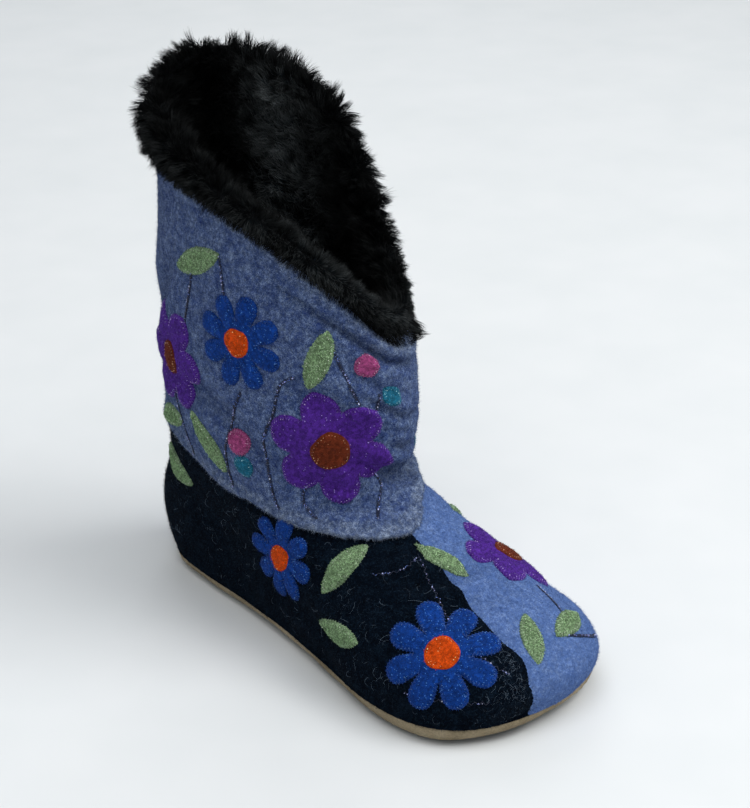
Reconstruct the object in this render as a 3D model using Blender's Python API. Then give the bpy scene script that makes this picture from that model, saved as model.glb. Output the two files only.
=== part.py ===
"""A felt boot slipper for the left foot, lined and cuffed with deep fur.

Metres in the scene, +Z up, toe towards -Y, inner side of the foot towards -X. The origin lies on the floor
under the middle of the whole boot. Every size below is in millimetres, from the middle of the sole, and
becomes metres where a mesh is made.
"""

import math
from collections import namedtuple

import bmesh
import bpy
import numpy as np
from mathutils import Vector
from mathutils.bvhtree import BVHTree

MM = 0.001

# Driving sizes
SOLE_HALF_LENGTH = 128.0
FELT_WALL = 3.3
HEM_STEP = 2.2
LEATHER = 3.0
GAP = 0.3
SEAM_GAP = 0.45
FUR_GAP = 0.8
COLUMNS = 48
FINE_COLUMNS = 144

# The whole boot's middle, seen from above, in the sole's own measures.
MIDDLE = (-1.2, 5.3, 0.0)

# Half widths of the sole at four places along its half length: -1 is the heel's back and +1 the toe's front.
STATIONS = np.array((-0.70, -0.10, 0.42, 0.86))
SOLE_HALF_WIDTH = {"heel": 33.0, "waist": 42.0, "ball": 55.0, "toe": 43.0}
SOLE_BEND = {"heel": 3.5, "waist": 2.0, "ball": -1.0, "toe": 0.5}

# The upper's levels, from its seam with the sole to the collar. front is on the toe, vamp and shin, back on
# the heel and calf. sag lowers the sides, vee is the share of the level's slope that gathers in a V, and half
# is the shaft's half width.
Level = namedtuple("Level", ("front_y", "front_z", "back_y", "back_z", "sag", "vee", "half"))
LEVELS = {
    "feather": (-122.0, 11.0, 125.0, 8.0, 1.0, 0.0, 42.0),
    "rand": (-126.5, 19.5, 129.0, 18.0, 1.0, 0.0, 42.0),
    "toe_cap": (-125.5, 27.5, 130.5, 32.0, 2.0, 0.0, 42.0),
    "toe_top": (-117.5, 36.0, 130.0, 46.0, 3.0, 0.0, 42.0),
    "vamp_low": (-101.0, 42.0, 128.0, 58.0, 5.0, 0.0, 42.0),
    "vamp_mid": (-79.0, 51.0, 127.0, 70.0, 7.0, 0.0, 42.0),
    "vamp_high": (-55.0, 60.0, 125.0, 81.0, 8.0, 0.0, 42.0),
    "hem": (-31.0, 70.0, 124.0, 91.0, 8.0, 0.0, 40.0),
    "instep": (-16.0, 83.0, 123.0, 108.0, 5.0, 0.0, 42.5),
    "ankle": (-20.0, 103.0, 123.0, 132.0, 2.0, 0.3, 44.5),
    "calf": (-20.0, 132.0, 123.0, 186.0, 0.0, 0.8, 43.0),
    "collar": (-12.0, 165.0, 124.0, 257.0, 0.0, 1.0, 39.5),
}
LEVEL = {name: number for number, name in enumerate(LEVELS)}
LEVEL_TABLE = np.array(list(LEVELS.values()))

# The collar falls from its back to a V, by these shares of the whole, every 30 degrees from the front by the
# lateral side. The V's middle stands a little to the lateral side, whose edge is the steeper one.
VEE_SHARES = np.array((0.97, 1.0, 0.80, 0.27, 0.06, 0.0, 0.05, 0.18, 0.28, 0.39, 0.53, 0.74))

# The foot's cross-section: a round arch that stands on straight sides.
ARCH_FOOT_Z = 16.0
ARCH_POWER = 2.2

# The heights over which the foot's arch turns into the shaft: it starts low behind the instep, where the shaft
# stands straight on the heel, and higher ahead of it.
SHAFT_STARTS_Z = {"behind": 8.0, "ahead": 40.0}
SHAFT_WHOLE_Z = 98.0
INSTEP_Y = (-45.0, 15.0)


def smooth(value):
    """0 below 0, 1 above 1 and a smooth step between."""
    share = np.clip(value, 0.0, 1.0)
    return share * share * (3.0 - 2.0 * share)


def through(values, at):
    """The cubic through four values at STATIONS, taken at the given places."""
    total = 0.0
    for i, value in enumerate(values):
        term = value
        for j, station in enumerate(STATIONS):
            if j != i:
                term = term * (at - station) / (STATIONS[i] - station)
        total = total + term
    return total


def curve_through(before, here, there, after, share):
    """The smooth curve between two of four evenly spaced values."""
    return 0.5 * (
        2.0 * here
        + (there - before) * share
        + (2.0 * before - 5.0 * here + 4.0 * there - after) * share**2
        + (3.0 * here - before - 3.0 * there + after) * share**3
    )


def level_row(level):
    """A row of the levels' table, read between two rows along a smooth curve."""
    last = len(LEVEL_TABLE) - 1
    i = int(np.clip(math.floor(level), 0, last - 1))
    share = level - i
    before, here, there, after = (LEVEL_TABLE[int(np.clip(i + k, 0, last))] for k in (-1, 0, 1, 2))
    return Level(*curve_through(before, here, there, after, share))


def ellipse_share(place):
    """Half width of a round-ended outline of half width 1, at a place from -1 to 1."""
    return np.sqrt(np.maximum(1.0 - place**2, 1e-9))


SOLE_FULLNESS = np.array(list(SOLE_HALF_WIDTH.values())) / ellipse_share(STATIONS)

# The vamp's ridge from the toe to the instep, and its slope behind that.
RIDGE_LEVELS = np.linspace(LEVEL["toe_cap"], LEVEL["instep"], 25)
RIDGE = np.array([(level_row(level).front_y, level_row(level).front_z) for level in RIDGE_LEVELS])
RIDGE_RISE = 3.0


def sole_half_width(y):
    place = np.clip(-y / SOLE_HALF_LENGTH, -0.995, 0.995)
    return ellipse_share(place) * through(SOLE_FULLNESS, place)


def sole_bend(y):
    """How far the foot's middle line leaves x = 0."""
    return through(list(SOLE_BEND.values()), np.clip(-y / SOLE_HALF_LENGTH, -1.0, 1.0))


def ridge_z(y):
    """Height of the vamp's ridge. Behind the instep it runs on upwards, as the shaft's wall does."""
    return np.interp(y, RIDGE[:, 0], RIDGE[:, 1]) + np.maximum(y - RIDGE[-1, 0], 0.0) * RIDGE_RISE


def foot_half_width(y, z):
    """Half width of the foot's arch at a height."""
    rise = np.clip((z - ARCH_FOOT_Z) / (ridge_z(y) - ARCH_FOOT_Z), 0.0, 0.995)
    return sole_half_width(y) * (1.0 - rise**ARCH_POWER) ** 0.5


def shaft_share(y, z):
    """How far the section is the shaft's, from 0 on the foot to 1 on the leg."""
    behind = smooth((y - INSTEP_Y[0]) / (INSTEP_Y[1] - INSTEP_Y[0]))
    start = SHAFT_STARTS_Z["ahead"] + (SHAFT_STARTS_Z["behind"] - SHAFT_STARTS_Z["ahead"]) * behind
    return smooth((z - start) / (SHAFT_WHOLE_Z - start))


def round_the_leg(values, turn):
    """A smooth closed curve through values that stand evenly round the leg from the front, at a turn."""
    place = np.asarray(turn) / (2.0 * math.pi) * len(values)
    i = np.floor(place).astype(int)
    share = place - i
    before, here, there, after = (values[(i + k) % len(values)] for k in (-1, 0, 1, 2))
    return curve_through(before, here, there, after, share)


def ring(level, turn):
    """Points of the felt's outer face at one level. turn is the angle from the front, +90 degrees at +X."""
    front_y, front_z, back_y, back_z, sag, vee, half = level_row(level)
    place = np.cos(turn)

    def height(where, at_turn):
        slope = (1.0 - vee) * (1.0 + where) / 2.0 + vee * round_the_leg(VEE_SHARES, at_turn)
        return back_z + (front_z - back_z) * slope - sag * (1.0 - where**2)

    def along(where):
        return (back_y + front_y) / 2.0 + where * (front_y - back_y) / 2.0

    station_y = along(STATIONS)
    station_z = height(STATIONS, np.arccos(STATIONS))
    leg = shaft_share(station_y, station_z)
    foot = foot_half_width(station_y, station_z) / ellipse_share(STATIONS)
    fullness = foot * (1.0 - leg) + half * leg

    y = along(place)
    z = height(place, turn)
    x = np.sin(turn) * through(fullness, place) + sole_bend(y) * (1.0 - shaft_share(y, z))
    return np.stack((x, y, z), axis=-1)


def turns(count=COLUMNS):
    return np.arange(count) * 2.0 * math.pi / count


def outward(level, turn):
    """The felt's unit normals at one level."""
    small = 0.01
    up = ring(min(level + small, LEVEL["collar"]), turn) - ring(max(level - small, LEVEL["feather"]), turn)
    round_it = ring(level, turn + small) - ring(level, turn - small)
    normal = np.cross(round_it, up)
    return normal / np.linalg.norm(normal, axis=-1, keepdims=True)


def skin(level, offset, turn=None):
    """A ring moved off the felt's outer face along its normals."""
    turn = turns() if turn is None else turn
    return ring(level, turn) + outward(level, turn) * np.reshape(offset, (-1, 1))


# Meshes


def new_object(name, bm, material, collection):
    bmesh.ops.recalc_face_normals(bm, faces=bm.faces)
    bmesh.ops.translate(bm, verts=bm.verts, vec=Vector(MIDDLE) * -MM)
    mesh = bpy.data.meshes.new(name)
    bm.to_mesh(mesh)
    bm.free()
    obj = bpy.data.objects.new(name, mesh)
    mesh.materials.append(material)
    collection.objects.link(obj)
    mesh.shade_smooth()
    mesh.set_sharp_from_angle(angle=math.radians(40.0))
    return obj


def loft(bm, rings, closed=False):
    """Joins rings of equally many points by four-sided faces, and gives back the rings' vertices."""
    rows = [[bm.verts.new(Vector(point) * MM) for point in points] for points in rings]
    pairs = list(zip(rows, rows[1:]))
    if closed:
        pairs.append((rows[-1], rows[0]))
    for low, high in pairs:
        for i in range(len(low)):
            j = (i + 1) % len(low)
            bm.faces.new((low[i], low[j], high[j], high[i]))
    return rows


def cap_across(bm, row):
    """Closes a ring with strips from side to side: its two halves have the same y."""
    count = len(row)
    for i in range(count // 2):
        left = [row[i], row[i + 1]]
        right = [row[-i - 1], row[-i % count]]
        bm.faces.new(list(dict.fromkeys(left + right)))


# The sole. Its rows run from the tread round the edge to the inside: inset is in from the seam with the upper,
# share is the height between the tread (0) and the seam (1), and thick is above that height.
SoleRow = namedtuple("SoleRow", ("inset", "share", "thick"))
SOLE_ROWS = {
    "tread": SoleRow(12.0, 0.0, 0.0),
    "tread_edge": SoleRow(5.0, 0.10, 0.0),
    "side": SoleRow(1.2, 0.50, 0.0),
    "rim": SoleRow(0.0, 1.0, 0.0),
    "lip": SoleRow(LEATHER, 1.0, 0.0),
    "inside": SoleRow(LEATHER + 2.4, 0.35, LEATHER * 0.6),
    "bed": SoleRow(LEATHER + 9.5, 0.0, LEATHER),
}
TOE_SPRING = 5.0
SPRING_STARTS_Y = -88.0
ARCH_LIFT = 1.2
ARCH_Y = (-18.0, 62.0)


def tread_z(y):
    """Height of the tread: flat under the heel and the ball, a little lifted between them and sprung at the toe."""
    ahead = np.clip((SPRING_STARTS_Y - y) / (SOLE_HALF_LENGTH + SPRING_STARTS_Y), 0.0, 1.2)
    spring = TOE_SPRING * ahead**1.6
    along_arch = np.clip((y - ARCH_Y[0]) / (ARCH_Y[1] - ARCH_Y[0]), 0.0, 1.0)
    return spring + ARCH_LIFT * np.sin(math.pi * along_arch) ** 2


def seam_ring(inset):
    """The seam between upper and sole, drawn in by a distance in plan."""
    seam = ring(LEVEL["feather"], turns())
    tangent = np.roll(seam, -1, axis=0) - np.roll(seam, 1, axis=0)
    inward = np.stack((-tangent[:, 1], tangent[:, 0], np.zeros(COLUMNS)), axis=-1)
    return seam + inward / np.linalg.norm(inward, axis=-1, keepdims=True) * inset


def sole_ring(row):
    points = seam_ring(row.inset)
    low = tread_z(points[:, 1])
    seam = ring(LEVEL["feather"], turns())[:, 2] - SEAM_GAP
    points[:, 2] = low + row.thick + (seam - low) * row.share
    return points


def outsole_solid(material, collection):
    """A leather tray: the tread and a side that stands up to the upper's seam."""
    bm = bmesh.new()
    rows = loft(bm, [sole_ring(row) for row in SOLE_ROWS.values()])
    cap_across(bm, rows[0])
    cap_across(bm, rows[-1])
    return new_object("outsole", bm, material, collection)


# The insole's rows: inset is in from the seam, and rise is above the tread.
InsoleRow = namedtuple("InsoleRow", ("inset", "rise"))
INSOLE_ROWS = {
    "under": InsoleRow(13.5, LEATHER + GAP),
    "lower_edge": InsoleRow(6.6, LEATHER + 2.2),
    "side": InsoleRow(4.6, 8.2),
    "upper_edge": InsoleRow(6.0, 11.0),
    "top": InsoleRow(11.0, 12.0),
}


def insole_solid(material, collection):
    """The padded footbed, which lies in the tray between the felt's walls."""
    bm = bmesh.new()
    rings = []
    for row in INSOLE_ROWS.values():
        points = seam_ring(row.inset)
        points[:, 2] = tread_z(points[:, 1]) + row.rise
        rings.append(points)
    rows = loft(bm, rings)
    cap_across(bm, rows[0])
    cap_across(bm, rows[-1])
    return new_object("insole", bm, material, collection)


# The levels of the upper's rings: outside below and above the hem, and inside from the collar down.
LOW_LEVELS = np.linspace(LEVEL["feather"], LEVEL["hem"], 15)
HIGH_LEVELS = (7.0, 7.5, 8.0, 8.6, 9.2, 9.8, 10.4, 11.0)
INNER_LEVELS = (11.0, 10.4, 9.8, 9.2, 8.6, 8.0, 7.5, 7.0, 6.0, 5.0, 4.0, 3.0, 2.0, 1.5, 1.0, 0.5, 0.0)


def felt_outside(low, high, turn=None):
    """Rings of the felt's outer face. The shaft's stand off the foot's by the step at the hem."""
    return [skin(level, 0.0, turn) for level in low] + [skin(level, HEM_STEP, turn) for level in high]


def upper_solid(material, collection):
    """The foot and the shaft in one: felt whose shaft laps over the foot in a step at the hem."""
    inside = []
    for level in INNER_LEVELS:
        lapped = smooth(level - LEVEL["hem"])
        inside.append(skin(level, HEM_STEP * lapped - FELT_WALL))
    bm = bmesh.new()
    loft(bm, felt_outside(LOW_LEVELS, HIGH_LEVELS) + inside, closed=True)
    return new_object("upper", bm, material, collection)


# The fur round the collar. Its section runs up inside the outer leg, over the felt's edge, down the inner leg's
# hidden face, and back over the fur's own face. outer and inner are shares of the two legs' drops below the
# collar, rise is above the collar, and out is off the felt's outer face. The drops and the outer leg's
# fullness are given at the front, the lateral side, the back and the medial side.
OUTER_DROP = np.array((6.0, 22.0, 17.0, 6.0))
INNER_DROP = np.array((42.0, 80.0, 80.0, 60.0))
FULLNESS = np.array((0.55, 0.85, 1.0, 0.9))
FurRow = namedtuple("FurRow", ("outer", "inner", "rise", "out"))
OUTER_FACE = HEM_STEP + FUR_GAP
INNER_FACE = HEM_STEP - FELT_WALL - FUR_GAP
FUR_ROWS = {
    "lip": FurRow(0.97, 0.0, 0.0, OUTER_FACE),
    "outer_back": FurRow(0.5, 0.0, 0.0, OUTER_FACE),
    "edge_outside": FurRow(0.0, 0.0, FUR_GAP, OUTER_FACE),
    "edge_inside": FurRow(0.0, 0.0, FUR_GAP, INNER_FACE),
    "inner_back": FurRow(0.0, 0.5, 0.0, INNER_FACE),
    "inner_lip": FurRow(0.0, 0.97, 0.0, INNER_FACE),
    "inner_end": FurRow(0.0, 1.02, 0.0, -5.5),
    "inner_low": FurRow(0.0, 0.85, 0.0, -8.5),
    "inner_mid": FurRow(0.0, 0.5, 0.0, -9.5),
    "inner_high": FurRow(0.0, 0.15, 0.0, -9.5),
    "inner_crest": FurRow(0.0, 0.0, 6.0, -7.0),
    "crest": FurRow(0.0, 0.0, 10.0, 0.0),
    "outer_crest": FurRow(0.0, 0.0, 6.0, 7.0),
    "outer_high": FurRow(0.2, 0.0, 0.0, 9.5),
    "outer_mid": FurRow(0.6, 0.0, 0.0, 10.0),
    "outer_low": FurRow(0.95, 0.0, 0.0, 9.0),
    "outer_end": FurRow(1.10, 0.0, 0.0, 5.5),
}
FIRST_FUR_ROW = list(FUR_ROWS).index("inner_end")

# Each lock's reach off the fur's face and downwards, its sideways spread, and how far its length varies.
LOCK_OUT = 3.6
LOCK_DOWN = 3.4
LOCK_SPREAD = 1.6
LOCK_VARIES = (0.6, 1.2)
LEVEL_STEP = 0.05


def below_collar(drop, out, turn):
    """Points off the shaft's wall at a height below the collar."""
    levels = np.arange(LEVEL["instep"], LEVEL["collar"] + LEVEL_STEP / 2.0, LEVEL_STEP)
    wall = np.stack([skin(min(level, LEVEL["collar"]), out, turn) for level in levels])
    height = wall[-1, :, 2] - drop
    points = np.empty((len(turn), 3))
    for i in range(len(turn)):
        for axis in range(3):
            points[i, axis] = np.interp(height[i], wall[:, i, 2], wall[:, i, axis])
    return points


def fur_ring(row):
    turn = turns()
    drop = round_the_leg(OUTER_DROP, turn) * row.outer + round_the_leg(INNER_DROP, turn) * row.inner
    outside = max(row.out - OUTER_FACE, 0.0)
    points = below_collar(drop, row.out - outside * (1.0 - round_the_leg(FULLNESS, turn)), turn)
    points[:, 2] += row.rise
    return points


def fur_cuff_solid(material, collection):
    """The fur lining, turned over the collar. Locks stand on its own face, each drawn out and down to a tip."""
    bm = bmesh.new()
    rings = [fur_ring(row) for row in FUR_ROWS.values()]
    rows = loft(bm, rings, closed=True)
    bm.verts.index_update()
    bmesh.ops.recalc_face_normals(bm, faces=bm.faces)
    fur_verts = {vert for row in rows[FIRST_FUR_ROW:] for vert in row}
    fur_faces = [face for face in bm.faces if fur_verts.issuperset(face.verts)]
    tufted = [face for i, face in enumerate(fur_faces) if i % 2 == 0]
    poked = bmesh.ops.poke(bm, faces=tufted)
    rng = np.random.default_rng(7)
    bm.normal_update()
    for tip in poked["verts"]:
        length = LOCK_OUT * rng.uniform(*LOCK_VARIES)
        spread = Vector(rng.uniform(-LOCK_SPREAD, LOCK_SPREAD, 3))
        down = Vector((0.0, 0.0, -LOCK_DOWN * rng.uniform(*LOCK_VARIES)))
        tip.co += (tip.normal * length + spread + down) * MM
    return new_object("fur_cuff", bm, material, collection)


# The felt shapes sewn on the boot. Each is a slab a little off the felt, round a centre that is given by its
# level and its turn in degrees, and is turned in place by spin. reach is its half length.
SLAB = 1.3
CLEARANCE = 1.15
DISC_CLEARANCE = 0.5
STRIDE = 4.0
RINGS = (1.0, 0.7, 0.36)
Motif = namedtuple("Motif", ("kind", "level", "turn", "spin", "reach"))
FLOWERS = (
    Motif("star_flower", 9.0, -37.0, 12.0, 31.0),
    Motif("star_flower", 9.15, -119.0, 30.0, 28.0),
    Motif("star_flower", 9.5, 162.0, 5.0, 26.0),
    Motif("star_flower", 8.95, 67.0, 14.0, 28.0),
    Motif("star_flower", 4.85, 37.0, 10.0, 25.5),
    Motif("daisy", 9.85, -78.0, 6.0, 24.0),
    Motif("daisy", 3.4, -37.0, 6.0, 27.5),
    Motif("daisy", 4.3, -89.0, 18.0, 22.0),
    Motif("daisy", 4.1, 93.0, 12.0, 23.0),
    Motif("daisy", 9.5, 112.0, 24.0, 24.0),
)
LEAVES = (
    Motif("leaf", 10.05, -43.0, 70.0, 16.0),
    Motif("leaf", 10.3, -99.0, 25.0, 17.0),
    Motif("leaf", 8.1, -95.0, -50.0, 17.0),
    Motif("leaf", 7.6, -128.0, 20.0, 16.0),
    Motif("leaf", 5.65, -55.0, 62.0, 16.0),
    Motif("leaf", 5.95, -6.0, -78.0, 15.0),
    Motif("leaf", 3.6, -2.0, 66.0, 14.0),
    Motif("leaf", 3.1, 20.0, -15.0, 15.0),
    Motif("leaf", 2.4, -73.0, 6.0, 15.0),
    Motif("leaf", 8.5, -158.0, 60.0, 18.0),
    Motif("leaf", 10.4, 144.0, -55.0, 17.0),
    Motif("leaf", 8.2, 104.0, 30.0, 18.0),
    Motif("leaf", 4.7, 68.0, -60.0, 16.0),
    Motif("leaf", 4.4, 134.0, 15.0, 17.0),
    Motif("leaf", 4.6, -140.0, -15.0, 17.0),
)
BERRIES = (
    Motif("pink_berry", 8.6, -78.0, 0.0, 6.5),
    Motif("teal_berry", 8.1, -75.0, 0.0, 5.5),
    Motif("pink_berry", 10.2, -19.0, 0.0, 6.0),
    Motif("teal_berry", 9.9, -5.0, 0.0, 5.5),
    Motif("pink_berry", 8.1, 148.0, 0.0, 6.5),
    Motif("teal_berry", 8.3, 36.0, 0.0, 6.0),
)

# A flower's petals, and the points of each: how far round the petal, and how far out.
SHAPES = {
    "star_flower": (6, ((0.0, 0.62), (0.25, 0.90), (0.5, 1.0), (0.75, 0.90))),
    "daisy": (8, ((0.0, 0.46), (0.28, 0.98), (0.72, 0.98))),
}
DISC_REACH = 0.30

# A leaf's half width, as a share of its reach.
LEAF_SLIM = 0.36


def petal_outline(kind, reach):
    """A flower's outline: notches, with a petal's own points between each two."""
    petals, points = SHAPES[kind]
    outline = []
    for petal in range(petals):
        for step, share in points:
            angle = (petal + step) * 2.0 * math.pi / petals
            outline.append((reach * share * math.cos(angle), reach * share * math.sin(angle)))
    return outline


def leaf_outline(reach, points=10):
    """A leaf pointed at both ends."""
    outline = []
    for i in range(points):
        angle = i * 2.0 * math.pi / points
        slim = LEAF_SLIM * abs(math.sin(angle)) ** 0.9 * math.copysign(1.0, math.sin(angle))
        outline.append((reach * math.cos(angle), reach * slim))
    return outline


def disc_outline(reach, points=8):
    angles = [i * 2.0 * math.pi / points for i in range(points)]
    return [(reach * math.cos(angle), reach * math.sin(angle)) for angle in angles]


def felt_face():
    """The felt's outer face in fine facets, for laying things on."""
    low = np.arange(0.0, LEVEL["hem"] + 0.01, 0.25)
    high = np.arange(LEVEL["hem"], LEVEL["collar"] + 0.01, 0.25)
    bm = bmesh.new()
    loft(bm, felt_outside(low, high, turns(FINE_COLUMNS)))
    bmesh.ops.recalc_face_normals(bm, faces=bm.faces)
    face = BVHTree.FromBMesh(bm)
    bm.free()
    return face


def lay(face, centre, axes, flat):
    """Walks over the felt from a centre in short steps, as far and in such a direction as a flat point lies."""
    place, normal = centre
    distance = math.hypot(*flat) * MM
    if distance == 0.0:
        return place, normal
    heading = (axes[0] * flat[0] + axes[1] * flat[1]).normalized()
    steps = math.ceil(distance / (STRIDE * MM))
    for _ in range(steps):
        heading = (heading - normal * heading.dot(normal)).normalized()
        place, normal, _, _ = face.find_nearest(place + heading * (distance / steps))
    return place, normal


def spot_on_felt(motif, face):
    """A motif's centre on the felt with the normal there, and its two axes along the felt."""
    step = HEM_STEP if motif.level > LEVEL["hem"] else 0.0
    point = Vector(skin(motif.level, step, np.array([math.radians(motif.turn)]))[0]) * MM
    place, normal, _, _ = face.find_nearest(point)
    side = Vector((0.0, 0.0, 1.0)).cross(normal).normalized()
    up = normal.cross(side)
    spin = math.radians(motif.spin)
    axes = (side * math.cos(spin) + up * math.sin(spin), up * math.cos(spin) - side * math.sin(spin))
    return (place, normal), axes


def felt_slab(name, outline, motif, low, face, material, collection):
    """A flat shape laid on the felt: rings of its outline round its centre, above and below."""
    centre, axes = spot_on_felt(motif, face)
    place, normal = centre
    bm = bmesh.new()
    sheets = []
    for off in (low, low + SLAB):
        rows = []
        for share in RINGS:
            row = []
            for x, y in outline:
                at, out = lay(face, centre, axes, (x * share, y * share))
                row.append(bm.verts.new(at + out * off * MM))
            rows.append(row)
        middle = bm.verts.new(place + normal * off * MM)
        sheets.append((rows, middle))
    count = len(outline)
    for rows, middle in sheets:
        for i in range(count):
            j = (i + 1) % count
            bm.faces.new((rows[0][i], rows[0][j], rows[1][j], rows[1][i]))
            bm.faces.new((rows[1][i], rows[1][j], middle))
    lower, upper = sheets[0][0][0], sheets[1][0][0]
    for i in range(count):
        j = (i + 1) % count
        bm.faces.new((lower[i], lower[j], upper[j], upper[i]))
    return new_object(name, bm, material, collection)


def sewn_shapes(materials, collection):
    """Every sewn shape, and a disc on the middle of each flower."""
    face = felt_face()
    for number, flower in enumerate(FLOWERS, 1):
        outline = petal_outline(flower.kind, flower.reach)
        name = f"{flower.kind}_{number}"
        felt_slab(name, outline, flower, CLEARANCE, face, materials[flower.kind], collection)
        kind = f"{flower.kind}_centre"
        disc = disc_outline(flower.reach * DISC_REACH)
        on_petals = CLEARANCE + SLAB + DISC_CLEARANCE
        felt_slab(f"{kind}_{number}", disc, flower, on_petals, face, materials[kind], collection)
    for shapes, outline in ((LEAVES, leaf_outline), (BERRIES, disc_outline)):
        for number, motif in enumerate(shapes, 1):
            name = f"{motif.kind}_{number}"
            felt_slab(name, outline(motif.reach), motif, CLEARANCE, face, materials[motif.kind], collection)


def felt(name, colour, roughness=0.95):
    material = bpy.data.materials.new(name)
    material.use_nodes = True
    shader = material.node_tree.nodes["Principled BSDF"]
    shader.inputs["Base Color"].default_value = (*colour, 1.0)
    shader.inputs["Roughness"].default_value = roughness
    shader.inputs["Metallic"].default_value = 0.0
    return material


FELT_COLOURS = {
    "star_flower": (0.17, 0.05, 0.36),
    "star_flower_centre": (0.24, 0.07, 0.02),
    "daisy": (0.02, 0.08, 0.36),
    "daisy_centre": (0.80, 0.14, 0.02),
    "leaf": (0.20, 0.30, 0.13),
    "pink_berry": (0.42, 0.10, 0.26),
    "teal_berry": (0.02, 0.26, 0.34),
}


def main():
    for obj in list(bpy.data.objects):
        bpy.data.objects.remove(obj)
    slipper = bpy.data.collections.new("boot_slipper")
    bpy.context.scene.collection.children.link(slipper)
    outsole_solid(felt("tan_leather", (0.42, 0.30, 0.19), 0.75), slipper)
    insole_solid(felt("insole_felt", (0.05, 0.05, 0.05)), slipper)
    upper_solid(felt("blue_felt", (0.16, 0.20, 0.38)), slipper)
    fur_cuff_solid(felt("black_fur", (0.010, 0.011, 0.013)), slipper)
    sewn_shapes({name: felt(name + "_felt", colour) for name, colour in FELT_COLOURS.items()}, slipper)


main()
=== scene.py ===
"""The looks of a felt boot slipper for the left foot: wool felt, sewn shapes, deep fur and a leather sole.

The boot's form is worked out in millimetres from the middle of its sole, with the toe towards -Y and the
inner side of the foot towards -X. MIDDLE moves it into the frame, in metres, where a mesh is made.
"""

import math
from collections import namedtuple

import bpy
import numpy as np
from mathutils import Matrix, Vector, geometry, kdtree
from mathutils.bvhtree import BVHTree


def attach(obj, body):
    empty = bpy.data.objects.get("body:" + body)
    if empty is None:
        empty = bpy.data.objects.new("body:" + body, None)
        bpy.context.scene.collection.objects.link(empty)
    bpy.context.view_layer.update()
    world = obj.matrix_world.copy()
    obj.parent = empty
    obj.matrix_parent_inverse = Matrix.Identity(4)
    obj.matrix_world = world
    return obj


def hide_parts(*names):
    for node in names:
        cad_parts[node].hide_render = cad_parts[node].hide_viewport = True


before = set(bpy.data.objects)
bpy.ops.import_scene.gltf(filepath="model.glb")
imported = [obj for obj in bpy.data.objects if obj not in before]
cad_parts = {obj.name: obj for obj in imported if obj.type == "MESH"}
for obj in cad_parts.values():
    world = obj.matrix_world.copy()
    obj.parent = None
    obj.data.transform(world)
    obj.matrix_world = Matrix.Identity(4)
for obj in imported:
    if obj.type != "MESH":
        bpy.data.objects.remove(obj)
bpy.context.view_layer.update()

MM = 0.001
FINE = 1.0

# The camera stands ahead of the boot's inner side and above it.
CAMERA_TARGET = (0.0105, -0.0037, 0.1147)
CAMERA_AZIMUTH = -45.6
CAMERA_ELEVATION = 25.6
CAMERA_DISTANCE = 1.030
CAMERA_LENS = 98.0


def stand(obj, target, azimuth, elevation, distance):
    """Puts a camera or a light at a distance from a target and faces it there. Azimuth 0 is towards -Y."""
    turn = math.radians(azimuth)
    rise = math.radians(elevation)
    back = Vector((math.sin(turn) * math.cos(rise), -math.cos(turn) * math.cos(rise), math.sin(rise)))
    obj.location = Vector(target) + back * distance
    obj.rotation_mode = "QUATERNION"
    obj.rotation_quaternion = (-back).to_track_quat("-Z", "Y")
    bpy.context.scene.collection.objects.link(obj)


def add_camera():
    data = bpy.data.cameras.new("camera")
    data.lens = CAMERA_LENS
    camera = bpy.data.objects.new("camera", data)
    stand(camera, CAMERA_TARGET, CAMERA_AZIMUTH, CAMERA_ELEVATION, CAMERA_DISTANCE)
    bpy.context.scene.camera = camera


add_camera()

# Driving sizes, in millimetres
SOLE_HALF_LENGTH = 128.0
FELT_WALL = 3.3
HEM_STEP = 2.2
LEATHER = 3.0
SEAM_GAP = 0.45
MIDDLE = np.array((-1.2, 5.3, 0.0))
UP = np.array((0.0, 0.0, 1.0))

# Half widths of the sole at four places along its half length: -1 is the heel's back and +1 the toe's front.
STATIONS = np.array((-0.70, -0.10, 0.42, 0.86))
SOLE_HALF_WIDTH = {"heel": 33.0, "waist": 42.0, "ball": 55.0, "toe": 43.0}
SOLE_BEND = {"heel": 3.5, "waist": 2.0, "ball": -1.0, "toe": 0.5}

# The upper's levels, from its seam with the sole to the collar. front is on the toe, vamp and shin, back on
# the heel and calf. sag lowers the sides, vee is the share of the level's slope that gathers in a V, and half
# is the shaft's half width.
Level = namedtuple("Level", ("front_y", "front_z", "back_y", "back_z", "sag", "vee", "half"))
LEVELS = {
    "feather": (-122.0, 11.0, 125.0, 8.0, 1.0, 0.0, 42.0),
    "rand": (-126.5, 19.5, 129.0, 18.0, 1.0, 0.0, 42.0),
    "toe_cap": (-125.5, 27.5, 130.5, 32.0, 2.0, 0.0, 42.0),
    "toe_top": (-117.5, 36.0, 130.0, 46.0, 3.0, 0.0, 42.0),
    "vamp_low": (-101.0, 42.0, 128.0, 58.0, 5.0, 0.0, 42.0),
    "vamp_mid": (-79.0, 51.0, 127.0, 70.0, 7.0, 0.0, 42.0),
    "vamp_high": (-55.0, 60.0, 125.0, 81.0, 8.0, 0.0, 42.0),
    "hem": (-31.0, 70.0, 124.0, 91.0, 8.0, 0.0, 40.0),
    "instep": (-16.0, 83.0, 123.0, 108.0, 5.0, 0.0, 42.5),
    "ankle": (-20.0, 103.0, 123.0, 132.0, 2.0, 0.3, 44.5),
    "calf": (-20.0, 132.0, 123.0, 186.0, 0.0, 0.8, 43.0),
    "collar": (-12.0, 165.0, 124.0, 257.0, 0.0, 1.0, 39.5),
}
LEVEL = {name: number for number, name in enumerate(LEVELS)}
LEVEL_TABLE = np.array(list(LEVELS.values()))

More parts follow.
